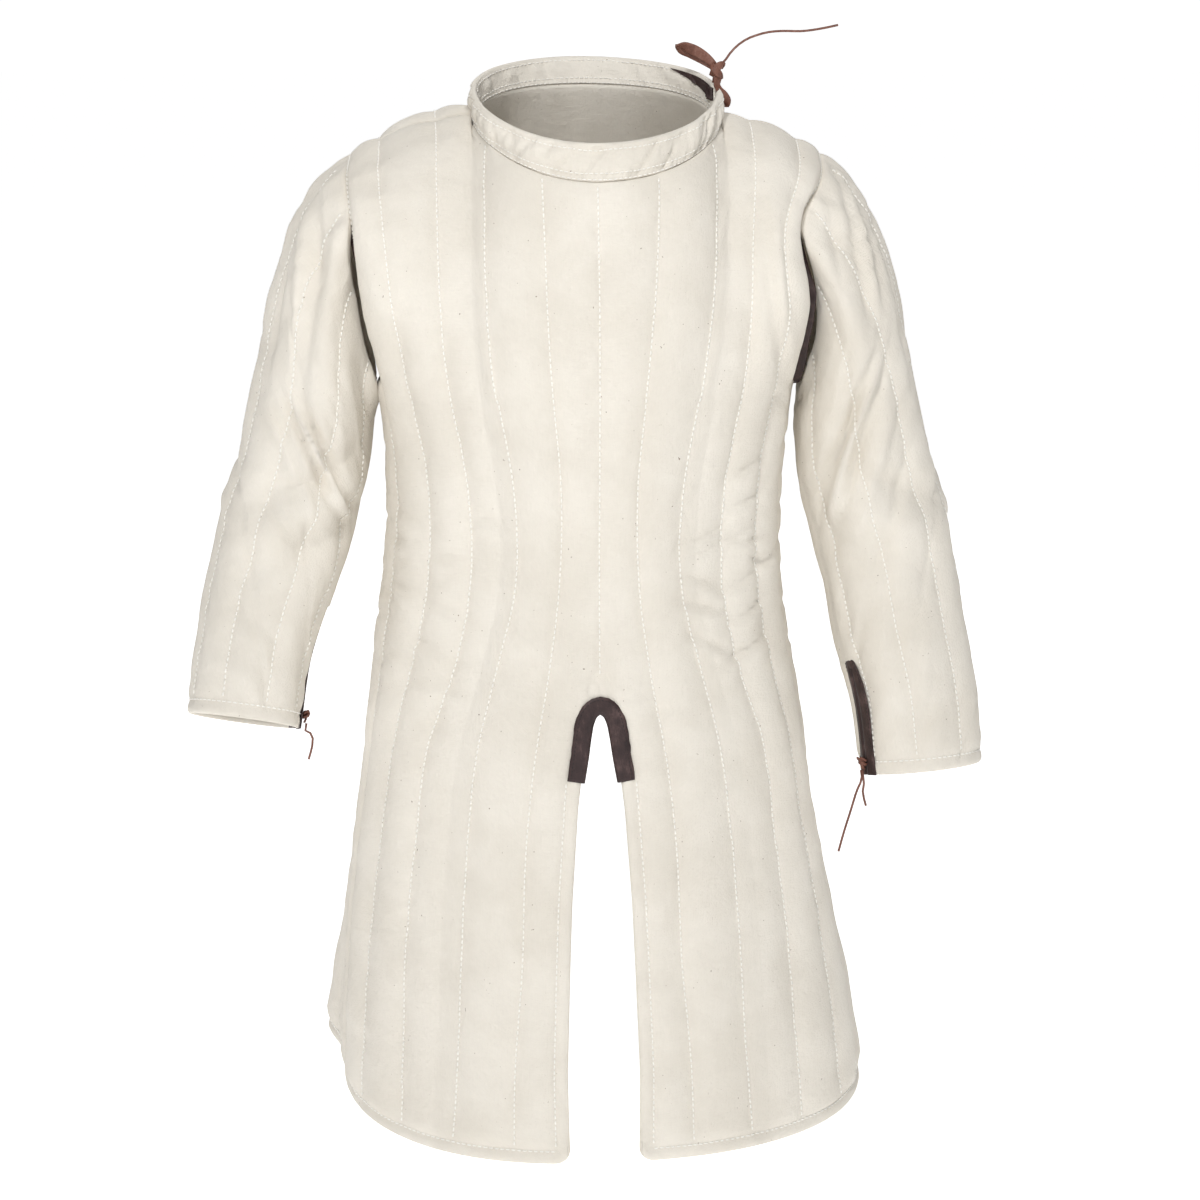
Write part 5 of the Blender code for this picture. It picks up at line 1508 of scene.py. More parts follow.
        self.inner = self.points + self.normals * (drawn - half)[..., None]

    def hem_roll(self, distance: Array) -> Array:
        """Height of a turned and stitched edge at a distance from it."""
        share = np.clip(distance / .0122, 0, 1)
        uneven = 1 + .5 * ripple(23, self.across / .012, self.down / .012)
        roll = .0011 * np.sin(math.pi * share) ** .8 * uneven
        return np.where(distance < .0122, roll, 0) - .0007 * np.exp(-((distance - .0122) / .0012) ** 2)

    def rows_of_stitches(self) -> list[tuple[Array, Array]]:
        """Lines that are stitched: quilting, slit edges and hem."""
        lines = []
        hem = self.row_at(self.hem_stitch)
        for c in self.line_columns:
            last = self.row_at(self.slit_above) - 4 if self.place[c] == 0 else hem
            lines.append((self.outer[3:last, c], self.normals[3:last, c]))
        for s in (-1, 1):
            c = nearest(self.columns, s * self.form.stitch_at)
            start = self.row_at(.592)
            lines.append((self.outer[start:hem, c], self.normals[start:hem, c]))
            inside = (self.columns * s >= self.form.stitch_at)
            lines.append((self.outer[hem, inside], self.normals[hem, inside]))
        return lines

    def build(self, finishes: Finishes) -> bpy.types.Object:
        """Make the panel and its stitching."""
        name = "front" if self.face is Face.FRONT else "back"
        wall = CloseWall(self.outer, self.inner, self.cells, self.step)
        piece = wall.piece(name + "_panel", np.stack([self.across + 1, self.down], -1))
        dress(piece, finishes.cotton, "cotton", name)
        rows = joined(name + "_stitching", [Stitch().row(*line) for line in self.rows_of_stitches()])
        dress(rows, finishes.cotton_thread, "cotton")
        return piece


# Sleeves


class Arm(NamedTuple):
    """One section of a sleeve: drop, place of its centre, half width and half depth."""

    drop: float
    x: float
    y: float
    wide: float
    deep: float


class Fold(NamedTuple):
    """Large fold of a sleeve: turn in degrees, drop, reach of each, slant and height."""

    turn: float
    drop: float
    reach_turn: float
    reach_drop: float
    slant: float
    height: float


@dataclass
class Sleeve:
    """One sleeve: a quilted tube hung over the shoulder, open at the armpit, cuff and cuff slit."""

    panels: dict
    side: Side
    rows: list[Arm]
    turned: float
    slit_label: int
    folds: list[Fold]
    free_edge_off: float
    creases: list[Crease]
    puff: float = .0038
    wall_half: float = .0025
    seam_gap: float = .0004
    label_degrees: float = 15
    cap_labels: int = 5
    half_labels: int = 12
    slit_length: float = .11
    slit_half: float = .003
    hem: float = .012
    per_label: int = 6
    head_rows: int = 60
    step: int = 2

    def __post_init__(self) -> None:
        """Work out the sleeve's grids."""
        self.sign = self.side.value
        self.drops = column_of(self.rows, "drop")
        count = 2 * self.half_labels * self.per_label
        ramp = np.arange(count + 1) / self.per_label
        ramp = ramp - .5 * np.sin(2 * math.pi * (ramp + self.slit_label + 1) / 3) * 3 / (2 * math.pi) * .9
        ramp = ramp - ramp[0]
        ramp = ramp / ramp[-1] * 2 * self.half_labels
        self.offset = ramp
        self.labels = (self.slit_label + ramp + self.half_labels) % (2 * self.half_labels) - self.half_labels
        first, last = self.drops[0], self.drops[-1]
        slit_from = last - self.slit_length
        above = int(round((slit_from - first) / .0038 / 2)) * 2
        within = int(round((self.slit_length - self.hem) / .0038 / 2)) * 2
        self.levels = np.array(list(np.linspace(first, slit_from, above + 1)[:-1])
                               + list(np.linspace(slit_from, last - self.hem, within + 1)[:-1])
                               + [last - self.hem + self.hem * k
                                  for k in (0, .22, .42, .6, .75, .87, .95, .985, 1)])
        self.slit_row = self.head_rows + above
        self.hem_row = len(self.levels) - 9 + self.head_rows
        lower = self.rings(self.levels)
        edge, edge_n, cap = self.top_edge()
        share = np.arange(self.head_rows) / self.head_rows
        head = self.head(edge, lower[0], self.rings(np.array([first, first + .03]))[1], share)
        self.points = np.vstack([head, lower])
        total = len(self.points)
        coarse_rows = range(0, total - 1, self.step)
        coarse_columns = count // self.step + 1
        self.cells = np.ones((len(coarse_rows), coarse_columns), bool)
        self.cells[[r >= self.slit_row for r in coarse_rows], -1] = False
        fine = np.repeat(np.repeat(self.cells[:, :-1], self.step, 0), self.step, 1)
        closing = np.repeat(self.cells[:, -1:], self.step, 0)
        self.fine_cells = np.concatenate([fine, closing], axis=1)
        normals = grid_normals(self.points, self.fine_cells, True)
        middle = self.points[-1].mean(axis=0)
        if np.sum(normals[-1] * (self.points[-1] - middle)) < 0:
            normals = -normals
        fade = np.exp(-running(self.points)[..., None] / .008) * cap[None, :, None]
        self.normals = unit(normals * (1 - fade) + edge_n[None] * fade)
        self.raise_cloth()

    def rings(self, levels: Array) -> Array:
        """Points of the sleeve's whole sections at drops of its centre line."""
        def centre(at: Array) -> Array:
            """Middle of the sleeve at a drop."""
            x, y = (smooth(self.drops, column_of(self.rows, k), at) for k in ("x", "y"))
            return np.stack([self.sign * x, y, -at], -1)
        wide, deep = (smooth(self.drops, column_of(self.rows, k), levels) for k in ("wide", "deep"))
        low = np.maximum(levels - .01, self.drops[0])
        high = np.minimum(levels + .01, self.drops[-1])
        down = unit(centre(high) - centre(low))
        ease = np.clip((levels - self.drops[0]) / .06, 0, 1)[:, None]
        down = unit(down * ease + np.array([0, 0, -1]) * (1 - ease))
        outward = unit(np.array([self.sign, 0, 0]) - down * down[:, :1] * self.sign)
        forward = unit(np.cross(down, outward))
        forward = forward * np.sign(forward[:, 1:2])
        degrees = self.turned + self.label_degrees * self.labels
        turn = np.radians(degrees)[None, :, None]
        across = (outward[:, None] * np.cos(turn) * wide[:, None, None]
                  + forward[:, None] * np.sin(turn) * deep[:, None, None])
        push = np.zeros((len(levels), len(self.labels)))
        for fold in self.folds:
            off = (degrees - fold.turn + 180) % 360 - 180
            level = levels[:, None] - fold.drop - fold.slant * off[None]
            push += fold.height * np.exp(-(off[None] / fold.reach_turn) ** 2 - (level / fold.reach_drop) ** 2)
        points = centre(levels)[:, None] + across + unit(across) * push[..., None]
        return self.part_slit(points)

    def part_slit(self, points: Array) -> Array:
        """Draw the two edges of the cuff slit apart."""
        last = 2 * self.half_labels
        after = nearest(self.offset, 1)
        before = nearest(self.offset, last - 1)
        along = unit(points[..., after, :] - points[..., before, :])[..., None, :]
        shift = np.clip(1 - self.offset, 0, 1) - np.clip(1 - (last - self.offset), 0, 1)
        return points + along * self.slit_half * shift[:, None]

    def armhole_loop(self) -> tuple[Array, Array]:
        """Edge of the armhole for every label, and its outward directions."""
        halves = []
        for face in (Face.FRONT, Face.BACK):
            panel = self.panels[face]
            edge = nearest(panel.columns, 5 * self.sign)
            seam = 0 if self.sign < 0 else len(panel.columns) - 1
            row = panel.yoke_rows
            beside = range(edge, seam + self.sign, self.sign)
            path = np.vstack([panel.points[:row, edge], panel.points[row, list(beside)]])
            normal = np.vstack([panel.normals[:row, edge], panel.normals[row, list(beside)]])
            notch = nearest(panel.rows, .5)
            path[0, 1] = 0
            path[-1, 1] = 0
            run = running(path)
            upper = np.interp(np.linspace(0, .5, self.cap_labels + 1), panel.rows[:row], run[:row])
            lower = np.linspace(run[notch], run[-1], self.half_labels - self.cap_labels + 1)[1:]
            knots = np.concatenate([upper, lower])
            wanted = np.interp(np.abs(self.labels), np.arange(self.half_labels + 1), knots)
            halves.append((read(wanted, run, path), read(wanted, run, normal)))
        front = (self.labels <= 0)[:, None]
        points = np.where(front, halves[0][0], halves[1][0])
        normals = np.where(front, halves[0][1], halves[1][1])
        return points, unit(normals)

    def top_edge(self) -> tuple[Array, Array, Array]:
        """Seam edge over the shoulder and free edge round the armpit."""
        loop, normals = self.armhole_loop()
        ahead = np.roll(loop, -2, axis=0)
        behind = np.roll(loop, 2, axis=0)
        off = unit(np.cross(unit(ahead - behind), normals))
        off = off * np.sign(off[:, :1] * self.sign)
        place = np.abs(self.labels)
        free = np.clip((place - self.cap_labels) / (self.half_labels - self.cap_labels), 0, 1)
        level = np.array([self.sign, 0, 0])
        off = unit(off * (1 - free[:, None]) + level * free[:, None])
        swell = np.sin(math.pi * np.minimum(free, .76)) ** .8 * (free > 0)
        edge = loop + off * (self.seam_gap + self.free_edge_off * swell)[:, None]
        cap = np.where(free <= 0, 1.0, np.clip(1 - free * 3, 0, 1))
        return self.part_slit(edge), normals, cap

    def head(self, top: Array, bottom: Array, below: Array, share: Array) -> Array:
        """Points of the sleeve head, between its edge and the first whole section."""
        part = np.abs(self.labels) / self.half_labels
        reach = np.linalg.norm(bottom - top, axis=-1, keepdims=True)
        radial = unit(np.stack([np.zeros(len(top)), top[:, 1], top[:, 2] + .15], -1))
        start = unit(np.stack([self.sign * (1 - .62 * part), .45 * radial[:, 1], -.5 - .6 * part], -1))
        return hermite(top[None], (start * reach * .9)[None], bottom[None],
                       (unit(below - bottom) * reach)[None], share[:, None, None])

    def raise_cloth(self) -> None:
        """Raise the padding, puckers, gathers and creases, and round the edges."""
        self.down = running(self.points, axis=0)
        run = running(self.points, axis=1)
        self.across = run
        lines = (self.labels + 1) / 3
        share = lines - np.floor(lines + 1e-9)
        share[np.abs(share - 1) < 1e-6] = 0
        swell = np.clip(1 - np.abs(2 * share - 1) ** 2.1, 0, 1)
        swell = np.repeat(swell[None], len(self.points), 0)
        self.gap_left = np.minimum(run, run[:, -1:] - run)
        left = self.down[-1][None] - self.down
        swell = swell * np.clip((left - self.hem) / .012, 0, 1) ** .6 * rounded(self.down, .012)
        cut = (np.arange(len(self.points)) >= self.slit_row)[:, None]
        beside = np.where(cut, np.clip((self.gap_left - .004) / .01, 0, 1), 1)
        swell = swell * beside
        line_gap = np.minimum(share, 1 - share) * .044
        pucker = ripple(31, self.across / .028, self.down / .0105) * np.exp(-line_gap / .012)[None]
        soft = ripple(13, self.across / .05, self.down / .04) * .8 + ripple(17, self.across / .03,
                                                                             self.down / .022) * .5
        quiet = np.clip(left / .014, 0, 1) * np.clip(self.down / .006, 0, 1)
        relief = self.puff * swell + (.0011 * pucker + .0014 * soft * swell) * quiet
        gathers = np.abs(self.labels) <= self.cap_labels + 1
        pleat = ripple(41, self.across / .011 - self.down / .09, self.down * 0 + .5)
        deep = wrinkles(43, self.across / .03 - self.down / .16, self.down / .11)
        pleat = pleat * np.exp(-self.down / .06) + deep * np.exp(-(self.down / .13) ** 2)
        relief = relief + .0026 * pleat * gathers[None] * np.clip(self.down / .004, 0, 1)
        drawn = creased(self.points, self.normals, self.creases) * quiet
        slack = wrinkles(47, self.across / .075 + self.down / .085, self.down / .12, .1)
        drawn = drawn + .0016 * slack * quiet * np.clip(self.down / .1, 0, 1)
        relief = relief + drawn
        free = np.where(np.abs(self.labels)[None] > self.cap_labels, np.minimum(left, self.down), left)
        free = np.where(cut, np.minimum(free, self.gap_left), free)
        half = self.wall_half * (.12 + .88 * rounded(free, .0035))
        seam = np.where(np.abs(self.labels)[None] <= self.cap_labels, self.down, 9.0)
        half = half * (.55 + .45 * rounded(seam, .003))
        roll = .001 * np.sin(math.pi * np.clip(left / self.hem, 0, 1)) ** .8
        roll = roll - .0006 * np.exp(-((left - self.hem) / .0012) ** 2)
        relief = (relief + roll) * rounded(free, .004)
        self.outer = self.points + self.normals * (half + relief)[..., None]
        self.inner = self.points + self.normals * (np.clip(drawn, -.004, .003) - half)[..., None]

    def build(self, finishes: Finishes) -> bpy.types.Object:
        """Make the sleeve and its stitching."""
        name = "sleeve_" + self.side.name.lower()
        wall = CloseWall(self.outer, self.inner, self.cells, self.step, wrap=True)
        gap = 2 * self.slit_half
        piece = wall.piece(name + "_cloth", np.stack([self.across, self.down], -1), gap)
        dress(piece, finishes.cotton, "cotton", name)
        lines = []
        for k in range(-4, 5):
            label = 3 * k - 1
            if not -self.half_labels <= label < self.half_labels:
                continue
            c = nearest(self.labels, label)
            lines.append((self.outer[3:self.hem_row, c], self.normals[3:self.hem_row, c]))
        lines.append((self.outer[self.hem_row, 3:-3], self.normals[self.hem_row, 3:-3]))
        rows = joined(name + "_stitching", [Stitch().row(*line) for line in lines])
        dress(rows, finishes.cotton_thread, "cotton")
        return piece


# Collar


class Rise(NamedTuple):
    """How far the collar leads back and up, at one turn from the front centre."""

    turn: float
    back: float
    up: float


@dataclass
class Collar:
    """Standing collar: a band round the neckline, open at the wearer's left."""

    form: BodyForm
    opening: float = 96.25
    closing: float = 450.0
    swell: float = .0022
    columns: int = 400
    step: int = 2
    rises: list[Rise] = field(default_factory=lambda: [
        Rise(0, .01, .033), Rise(90, .002, .026), Rise(135, .006, .024), Rise(180, .015, .025),
        Rise(225, .006, .024), Rise(270, .002, .026), Rise(360, .01, .033), Rise(450, .002, .026)])

    def __post_init__(self) -> None:
        """Work out the collar's grids."""
        self.turns = np.linspace(self.opening, self.closing, self.columns + 1)
        base, normals = self.neckline(self.turns)
        ahead, behind = np.roll(base, -1, axis=0), np.roll(base, 1, axis=0)
        ahead[-1], behind[0] = base[-1], base[0]
        along = unit(ahead - behind)
        up = unit(np.cross(along, normals))
        up = up * np.sign(up[:, 2:3])
        knots = column_of(self.rises, "turn")
        rise = np.stack([np.zeros(len(base)), smooth(knots, column_of(self.rises, "back"), self.turns),
                         smooth(knots, column_of(self.rises, "up"), self.turns)], -1)
        across = unit(np.cross(rise, along))
        across = across * np.sign(np.sum(across * normals, axis=1, keepdims=True))
        self.shares = np.array([0, .02, .05, .09, .14, .2, .27, .35, .43, .51, .59, .67, .74, .8, .85, .9,
                                .94, .97, 1])
        foot = base + up * .0004
        self.points = foot[None] + rise[None] * self.shares[:, None, None]
        mix = np.minimum(self.shares / .5, 1)[:, None, None]
        self.normals = unit(normals[None] * (1 - mix) + across[None] * mix)
        self.curl()
        self.raise_cloth()

    def neckline(self, turns: Array) -> tuple[Array, Array]:
        """Places of the neckline and outward directions there, for turns from the front centre."""
        base = np.zeros((len(turns), 3))
        normals = np.zeros((len(turns), 3))
        wrapped = turns % 360
        for side in (-1, 1):
            for face in (-1, 1):
                if face < 0:
                    inside = (wrapped <= 90) if side > 0 else (wrapped >= 270)
                elif side > 0:
                    inside = (wrapped > 90) & (wrapped <= 180)
                else:
                    inside = (wrapped > 180) & (wrapped < 270)
                if not inside.any():
                    continue
                own = np.abs((wrapped[inside] + 180) % 360 - 180)
                own = np.minimum(own, 180 - own)
                spots = self.form.neck(side, face, own)
                column = np.interp(own, [0, 27, 65, 90], [0, 1, 2, self.form.neck_end])
                fall = self.form.points(side, face, np.array([0, .02]), column)
                below = unit(fall[1] - fall[0])
                next_spot = self.form.neck(side, face, own + .5)
                normal = unit(np.cross(below, unit(next_spot - spots))) * -face * side
                angle = np.radians(own)
                level = np.stack([side * np.sin(angle), face * np.cos(angle), np.zeros(len(own))], -1)
                base[inside] = spots
                normals[inside] = unit(normal + level)
        return base, eased(normals, 5)

    def curl(self) -> None:
        """Turn the front end's top outward beside the opening."""
        near = np.clip((self.turns - 428) / 22, 0, 1) ** 2
        lift = (self.shares ** 2)[:, None] * near[None]
        self.points = self.points + self.normals * (lift * .003)[..., None]
        dent = np.exp(-((self.turns - 418) / 5) ** 2)[None]
        dent = dent * np.exp(-((self.shares - .75) / .25) ** 2)[:, None]
        self.points = self.points - self.normals * (dent * .004)[..., None]

    def raise_cloth(self) -> None:
        """Raise the padding between the seam and the top edge's stitches."""
        self.down = running(self.points, axis=0)
        self.run = running(self.points, axis=1)
        height = self.down[-1][None]
        share = np.clip((self.down - .006) / np.maximum(height - .0125, 1e-4), 0, 1)
        swell = np.clip(1 - np.abs(2 * share - 1) ** 2.4, 0, 1) ** .8 * (self.down < height - .0065)
        wave = wrinkles(51, self.run / .0125 - self.down / .013, self.down / .09, .3) * .0042
        wave = wave + wrinkles(57, self.run / .008 - self.down / .011, self.down / .03, .3) * .0016 + .002
        top = height - self.down
        roll = .001 * np.sin(math.pi * np.clip(top / .0065, 0, 1)) ** .8
        ends = np.minimum(self.run, self.run[:, -1:] - self.run)
        free = np.minimum(top, ends)
        quiet = np.clip(free / .006, 0, 1) * np.clip(self.down / .004, 0, 1)
        relief = self.swell * swell * np.clip(ends / .012, 0, 1) + wave * quiet + roll
        half = self.form.wall_half * (.12 + .88 * rounded(free, .0035))
        half = half * (.55 + .45 * rounded(self.down, .003))
        self.outer = self.points + self.normals * (half + relief * rounded(free, .004))[..., None]
        inside = np.clip(self.swell * swell - .9 * wave - .0018, -.0005, .004) * quiet
        self.inner = self.points - self.normals * (half + inside)[..., None]

    def build(self, finishes: Finishes) -> bpy.types.Object:
        """Make the collar and its stitching."""
        cells = np.ones((len(self.shares) // self.step, self.columns // self.step), bool)
        wall = CloseWall(self.outer, self.inner, cells, self.step)
        piece = wall.piece("collar_cloth", np.stack([self.run, self.down], -1))
        dress(piece, finishes.cotton, "cotton", "collar")
        small = Stitch(.0034, .0046, .00052)
        lines = []
        for row, sign in ((2, 1), (5, 1), (13, 1), (13, -1), (2, -1), (5, -1)):
            grid = self.outer if sign > 0 else self.inner
            lines.append(small.row(grid[row, 3:-3], self.normals[row, 3:-3] * sign))
        rows = joined("collar_stitching", lines)
        dress(rows, finishes.cotton_thread, "cotton")
        return piece


# Leather


@dataclass(frozen=True)
class Binding:
    """Leather strip folded over a cut edge of the cloth, sewn through near its far edges."""

    name: str
    node: str
    thickness: float = .0014
    lift: float = .0003
    wall_half: float = .0025
    cover: Sequence[float] = (1.0, .75, .5, .25, .06)

    def build(self, edge: Array, inward: Array, normal: Array, wide: Array, finishes: Finishes,
              raised: Optional[Array] = None) -> None:
        """Make the strip and the thread that holds it.

        Args:
            edge: places along the cut edge, on the cloth's middle surface.
            inward: direction from the edge into the cloth at each place.
            normal: outward direction of the cloth.
            wide: width of each leg of the strip.
            finishes: materials.
            raised: extra height of the cloth under the strip's far edge.
        """
        run = running(edge)
        extra = np.zeros(len(edge)) if raised is None else raised
        rough = ripple(61, run / .006, run * 0 + .3) * .0006
        sections = []
        for k in range(len(edge)):
            width = wide[k] + rough[k]
            path = [(share * width, self.wall_half + self.lift + extra[k] * share) for share in self.cover]
            radius = self.wall_half + self.lift
            for angle in (60, 25, 0, -25, -60):
                turn = math.radians(angle)
                path.append((-radius * .75 * math.cos(turn), radius * math.sin(turn)))
            path += [(share * width, -radius) for share in self.cover[::-1]]
            path = np.array(path)
            along = np.gradient(path, axis=0)
            out = unit(np.stack([along[:, 1], -along[:, 0]], -1))
            if out[0, 1] < 0:
                out = -out
            shell = path + out * self.thickness
            tip = np.array([[width + .0005, path[0, 1] + self.thickness * .5]])
            tail = np.array([[width + .0005, path[-1, 1] - self.thickness * .5]])
            ring = np.vstack([shell, tail, path[::-1], tip])
            sections.append(edge[k] + inward[k] * ring[:, :1] + normal[k] * ring[:, 1:])
        dress(loft(self.name, np.array(sections)), finishes.dark_leather, "dark_leather", self.node)
        high = self.wall_half + self.lift + self.thickness
        line = edge + inward * (wide * .8)[:, None] + normal * (high + extra * .8)[:, None]
        stitch = Stitch(.0024, .0036, .00035, .0002)
        rows = joined(self.name + "_stitching", [stitch.row(line, normal)])
        dress(rows, finishes.dark_thread, "dark_leather")


def slit_binding(panel: BodyPanel, finishes: Finishes) -> None:
    """Bind the rounded top of the centre slit with leather.

    Args:
        panel: the panel that is slit.
        finishes: materials.
    """
    form, face = panel.form, panel.face.value
    spread = 1.0 if face > 0 else 0.0
    rows = [(.59, .018), (.567, .014), (.547, .011), (.536, .0086), (.5292, .0052), (.5262, 0.0)]
    levels, spreads = column_of(form.slit, "drop"), column_of(form.slit, "spread")
    extra = np.interp([r[0] for r in rows], levels, spreads) * spread
    half = np.array([[r[0], r[1] + e * (1 if r[1] else 0)] for r, e in zip(rows, extra)])
    whole = np.vstack([half * [1, -1], half[-2::-1]])
    run = running(whole)
    flat = smooth(run, whole, np.linspace(0, run[-1], 61))
    centre = form.hem_front if face < 0 else form.hem_back
    scale = (centre - form.armpit_drop) / (form.hem_front - form.armpit_drop)

    def surface(cut: Array, off: Array) -> Array:
        """Point of the cloth near the slit, from its drop and its distance from the centre."""
        drop = form.armpit_drop + (cut - form.armpit_drop) * scale
        left = form.section_point(1, face, drop, np.abs(off))
        right = form.section_point(-1, face, drop, np.abs(off))
        return np.where((off >= 0)[:, None], left, right)

    edge = surface(flat[:, 0], flat[:, 1])
    course = unit(np.gradient(flat, axis=0))
    away = np.stack([-course[:, 1], course[:, 0]], -1)
    if away[30, 0] > 0:
        away = -away
    inward = unit(surface(flat[:, 0] + away[:, 0] * .006, flat[:, 1] + away[:, 1] * .006) - edge)
    along = unit(np.gradient(edge, axis=0))
    normal = unit(np.cross(inward, along))
    if normal[30, 1] * face < 0:
        normal = -normal
    name = "front" if face < 0 else "back"
    title = name + "_slit_leather"
    share = np.linspace(0, 1, len(edge))
    wide = .0125 + .0008 * np.sin(math.pi * share)
    Binding(title, name + "_slit_binding").build(edge, inward, normal, wide, finishes)


def cuff_binding(sleeve: Sleeve, finishes: Finishes) -> None:
    """Bind both edges and the top of a cuff slit with leather.

    Args:
        sleeve: the sleeve that is slit.
        finishes: materials.
    """
    first, last = sleeve.slit_row, len(sleeve.points) - 1
    near = nearest(sleeve.offset, .85)
    rows = list(range(last, first - 1, -3))
    one = sleeve.points[rows, -1]
    two = sleeve.points[rows, 0]
    one_in = unit(sleeve.points[rows, -1 - near] - one)
    two_in = unit(sleeve.points[rows, near] - two)
    above = unit(sleeve.points[first - 6, 0] - sleeve.points[first, 0])
    top = (one[-1] + two[-1]) / 2 + above * .0015
    edge = np.vstack([one, top[None], two[::-1]])
    inward = np.vstack([one_in, above[None], two_in[::-1]])
    for k in (1, 2, 3):
        share = k / 4
        inward[len(one) - 1 - (3 - k)] = unit(one_in[-1] * (1 - share) + above * share)
        inward[len(one) + 1 + (3 - k)] = unit(two_in[-1] * (1 - share) + above * share)
    normal = np.vstack([sleeve.normals[rows, -1], sleeve.normals[[first], 0], sleeve.normals[rows, 0][::-1]])
    normal = unit(normal - inward * np.sum(normal * inward, axis=1, keepdims=True))
    title = "cuff_leather_" + sleeve.side.name.lower()
    wide = np.full(len(edge), .0118)
    node = "cuff_binding_" + sleeve.side.name.lower()
    Binding(title, node).build(edge, inward, normal, wide, finishes)


@dataclass(frozen=True)
class ArmholeFacing:
    """Leather strip sewn under the free edge of the armhole, from notch to notch."""

    panels: dict
    side: Side
    out: float
    turned: float = 0.0
    under: float = .007
    thickness: float = .0014

    def build(self, finishes: Finishes) -> None:
        """Make the strip and the cotton thread that holds it."""
        sign = self.side.value
        edges, normals, outs = [], [], []
        for face in (Face.FRONT, Face.BACK):
            panel = self.panels[face]
            edge = nearest(panel.columns, 5 * sign)
            seam = 0 if sign < 0 else len(panel.columns) - 1
            notch = nearest(panel.rows, .5)
            row = panel.yoke_rows
            beside = list(range(edge, seam + sign, sign))
            path = np.vstack([panel.points[notch:row, edge], panel.points[row, beside]])
            normal = np.vstack([panel.normals[notch:row, edge], panel.normals[row, beside]])
            run = running(path)
            at = np.linspace(0, run[-1], 41)
            path, normal = read(at, run, path), unit(read(at, run, normal))
            out = unit(np.cross(normal, unit(np.gradient(path, axis=0)))) * sign * -face.value
            edges.append(path)
            normals.append(normal)
            outs.append(out)
        edge = np.vstack([edges[0][:-1], edges[1][::-1]])
        normal = np.vstack([normals[0][:-1], normals[1][::-1]])
        out = np.vstack([outs[0][:-1], outs[1][::-1]])
        out = eased(out, 7)
        share = np.linspace(0, 1, len(edge))
        run = running(edge)
        lean = (self.turned * np.clip(np.sin(math.pi * share) * 1.6, 0, 1) * (share < .62))[:, None]
        out = unit(out * (1 - lean) + np.array([sign, -.55, 0]) * lean)
        normal = unit(normal - out * np.sum(normal * out, axis=1, keepdims=True))
        reach = self.out * (.35 + .65 * np.sin(math.pi * share)) + ripple(71, run / .02, run * 0) * .0008
        sections = []
        half = .0025
        for k in range(len(edge)):
            path = np.array([(-self.under, -half - .0004), (-self.under * .4, -half - .0004),
                             (.0005, -half - .0002), (reach[k] * .35, -half + .0003),
                             (reach[k] * .7, -half + .0008), (reach[k], -half + .0006)])
            lower = path[::-1] - [0, self.thickness]
            ring = np.vstack([path, [[reach[k] + .0005, path[-1, 1] - self.thickness / 2]], lower,
                              [[-self.under - .0004, path[0, 1] - self.thickness / 2]]])
            sections.append(edge[k] + out[k] * ring[:, :1] + normal[k] * ring[:, 1:])
        name = self.side.name.lower()
        piece = loft("armhole_leather_" + name, np.array(sections))
        dress(piece, finishes.dark_leather, "dark_leather", "armhole_facing_" + name)
        self.whip(edge, normal, out, finishes)

    def whip(self, edge: Array, normal: Array, out: Array, finishes: Finishes) -> None:
        """Sew slanting stitches over the cloth's edge."""
        run = running(edge)
        parts = []
        stitch = Stitch(.0052, .0052, .00042, 0)
        for at in np.arange(.004, run[-1] - .004, .0042):
            spot, n, o = read(at, run, edge), read(at, run, normal), read(at, run, out)
            lean = read(at + .0016, run, edge) - spot
            path = np.array([spot - o * .0032 + n * .0026 - lean, spot + o * .0002 + n * .001,
                             spot + o * .003 - n * .0019 + lean])
            parts.append(stitch.row(path, np.array([n, n, n])))
        rows = joined("armhole_stitching_" + self.side.name.lower(), parts)
        dress(rows, finishes.cotton_thread, "cotton")


def collar_facing(collar: Collar, finishes: Finishes) -> None:
    """Line the collar's back end beside the opening with leather.

    Args:
        collar: the collar.
        finishes: materials.
    """
    last = nearest(collar.turns, 134)
    sections = []
    for c in range(0, last + 1):
        share = c / last
        places = np.linspace(.42 + .4 * share ** 1.6, .865 - .03 * share, 8)
        spots, normals = (np.stack([np.interp(places, collar.shares, grid[:, c, k]) for k in range(3)], -1)
                          for grid in (collar.inner, collar.normals))
        sections.append(np.vstack([spots - normals * .0003, (spots - normals * .0017)[::-1]]))
    piece = loft("collar_leather", np.array(sections))
    dress(piece, finishes.dark_leather, "dark_leather", "collar_facing")


# Tied laces


class TiePlace(NamedTuple):
    """Place along a tied lace, with its half width and half thickness."""

    across: float
    up: float
    fore: float
    wide: float
    thick: float
    roll: float = 0.0


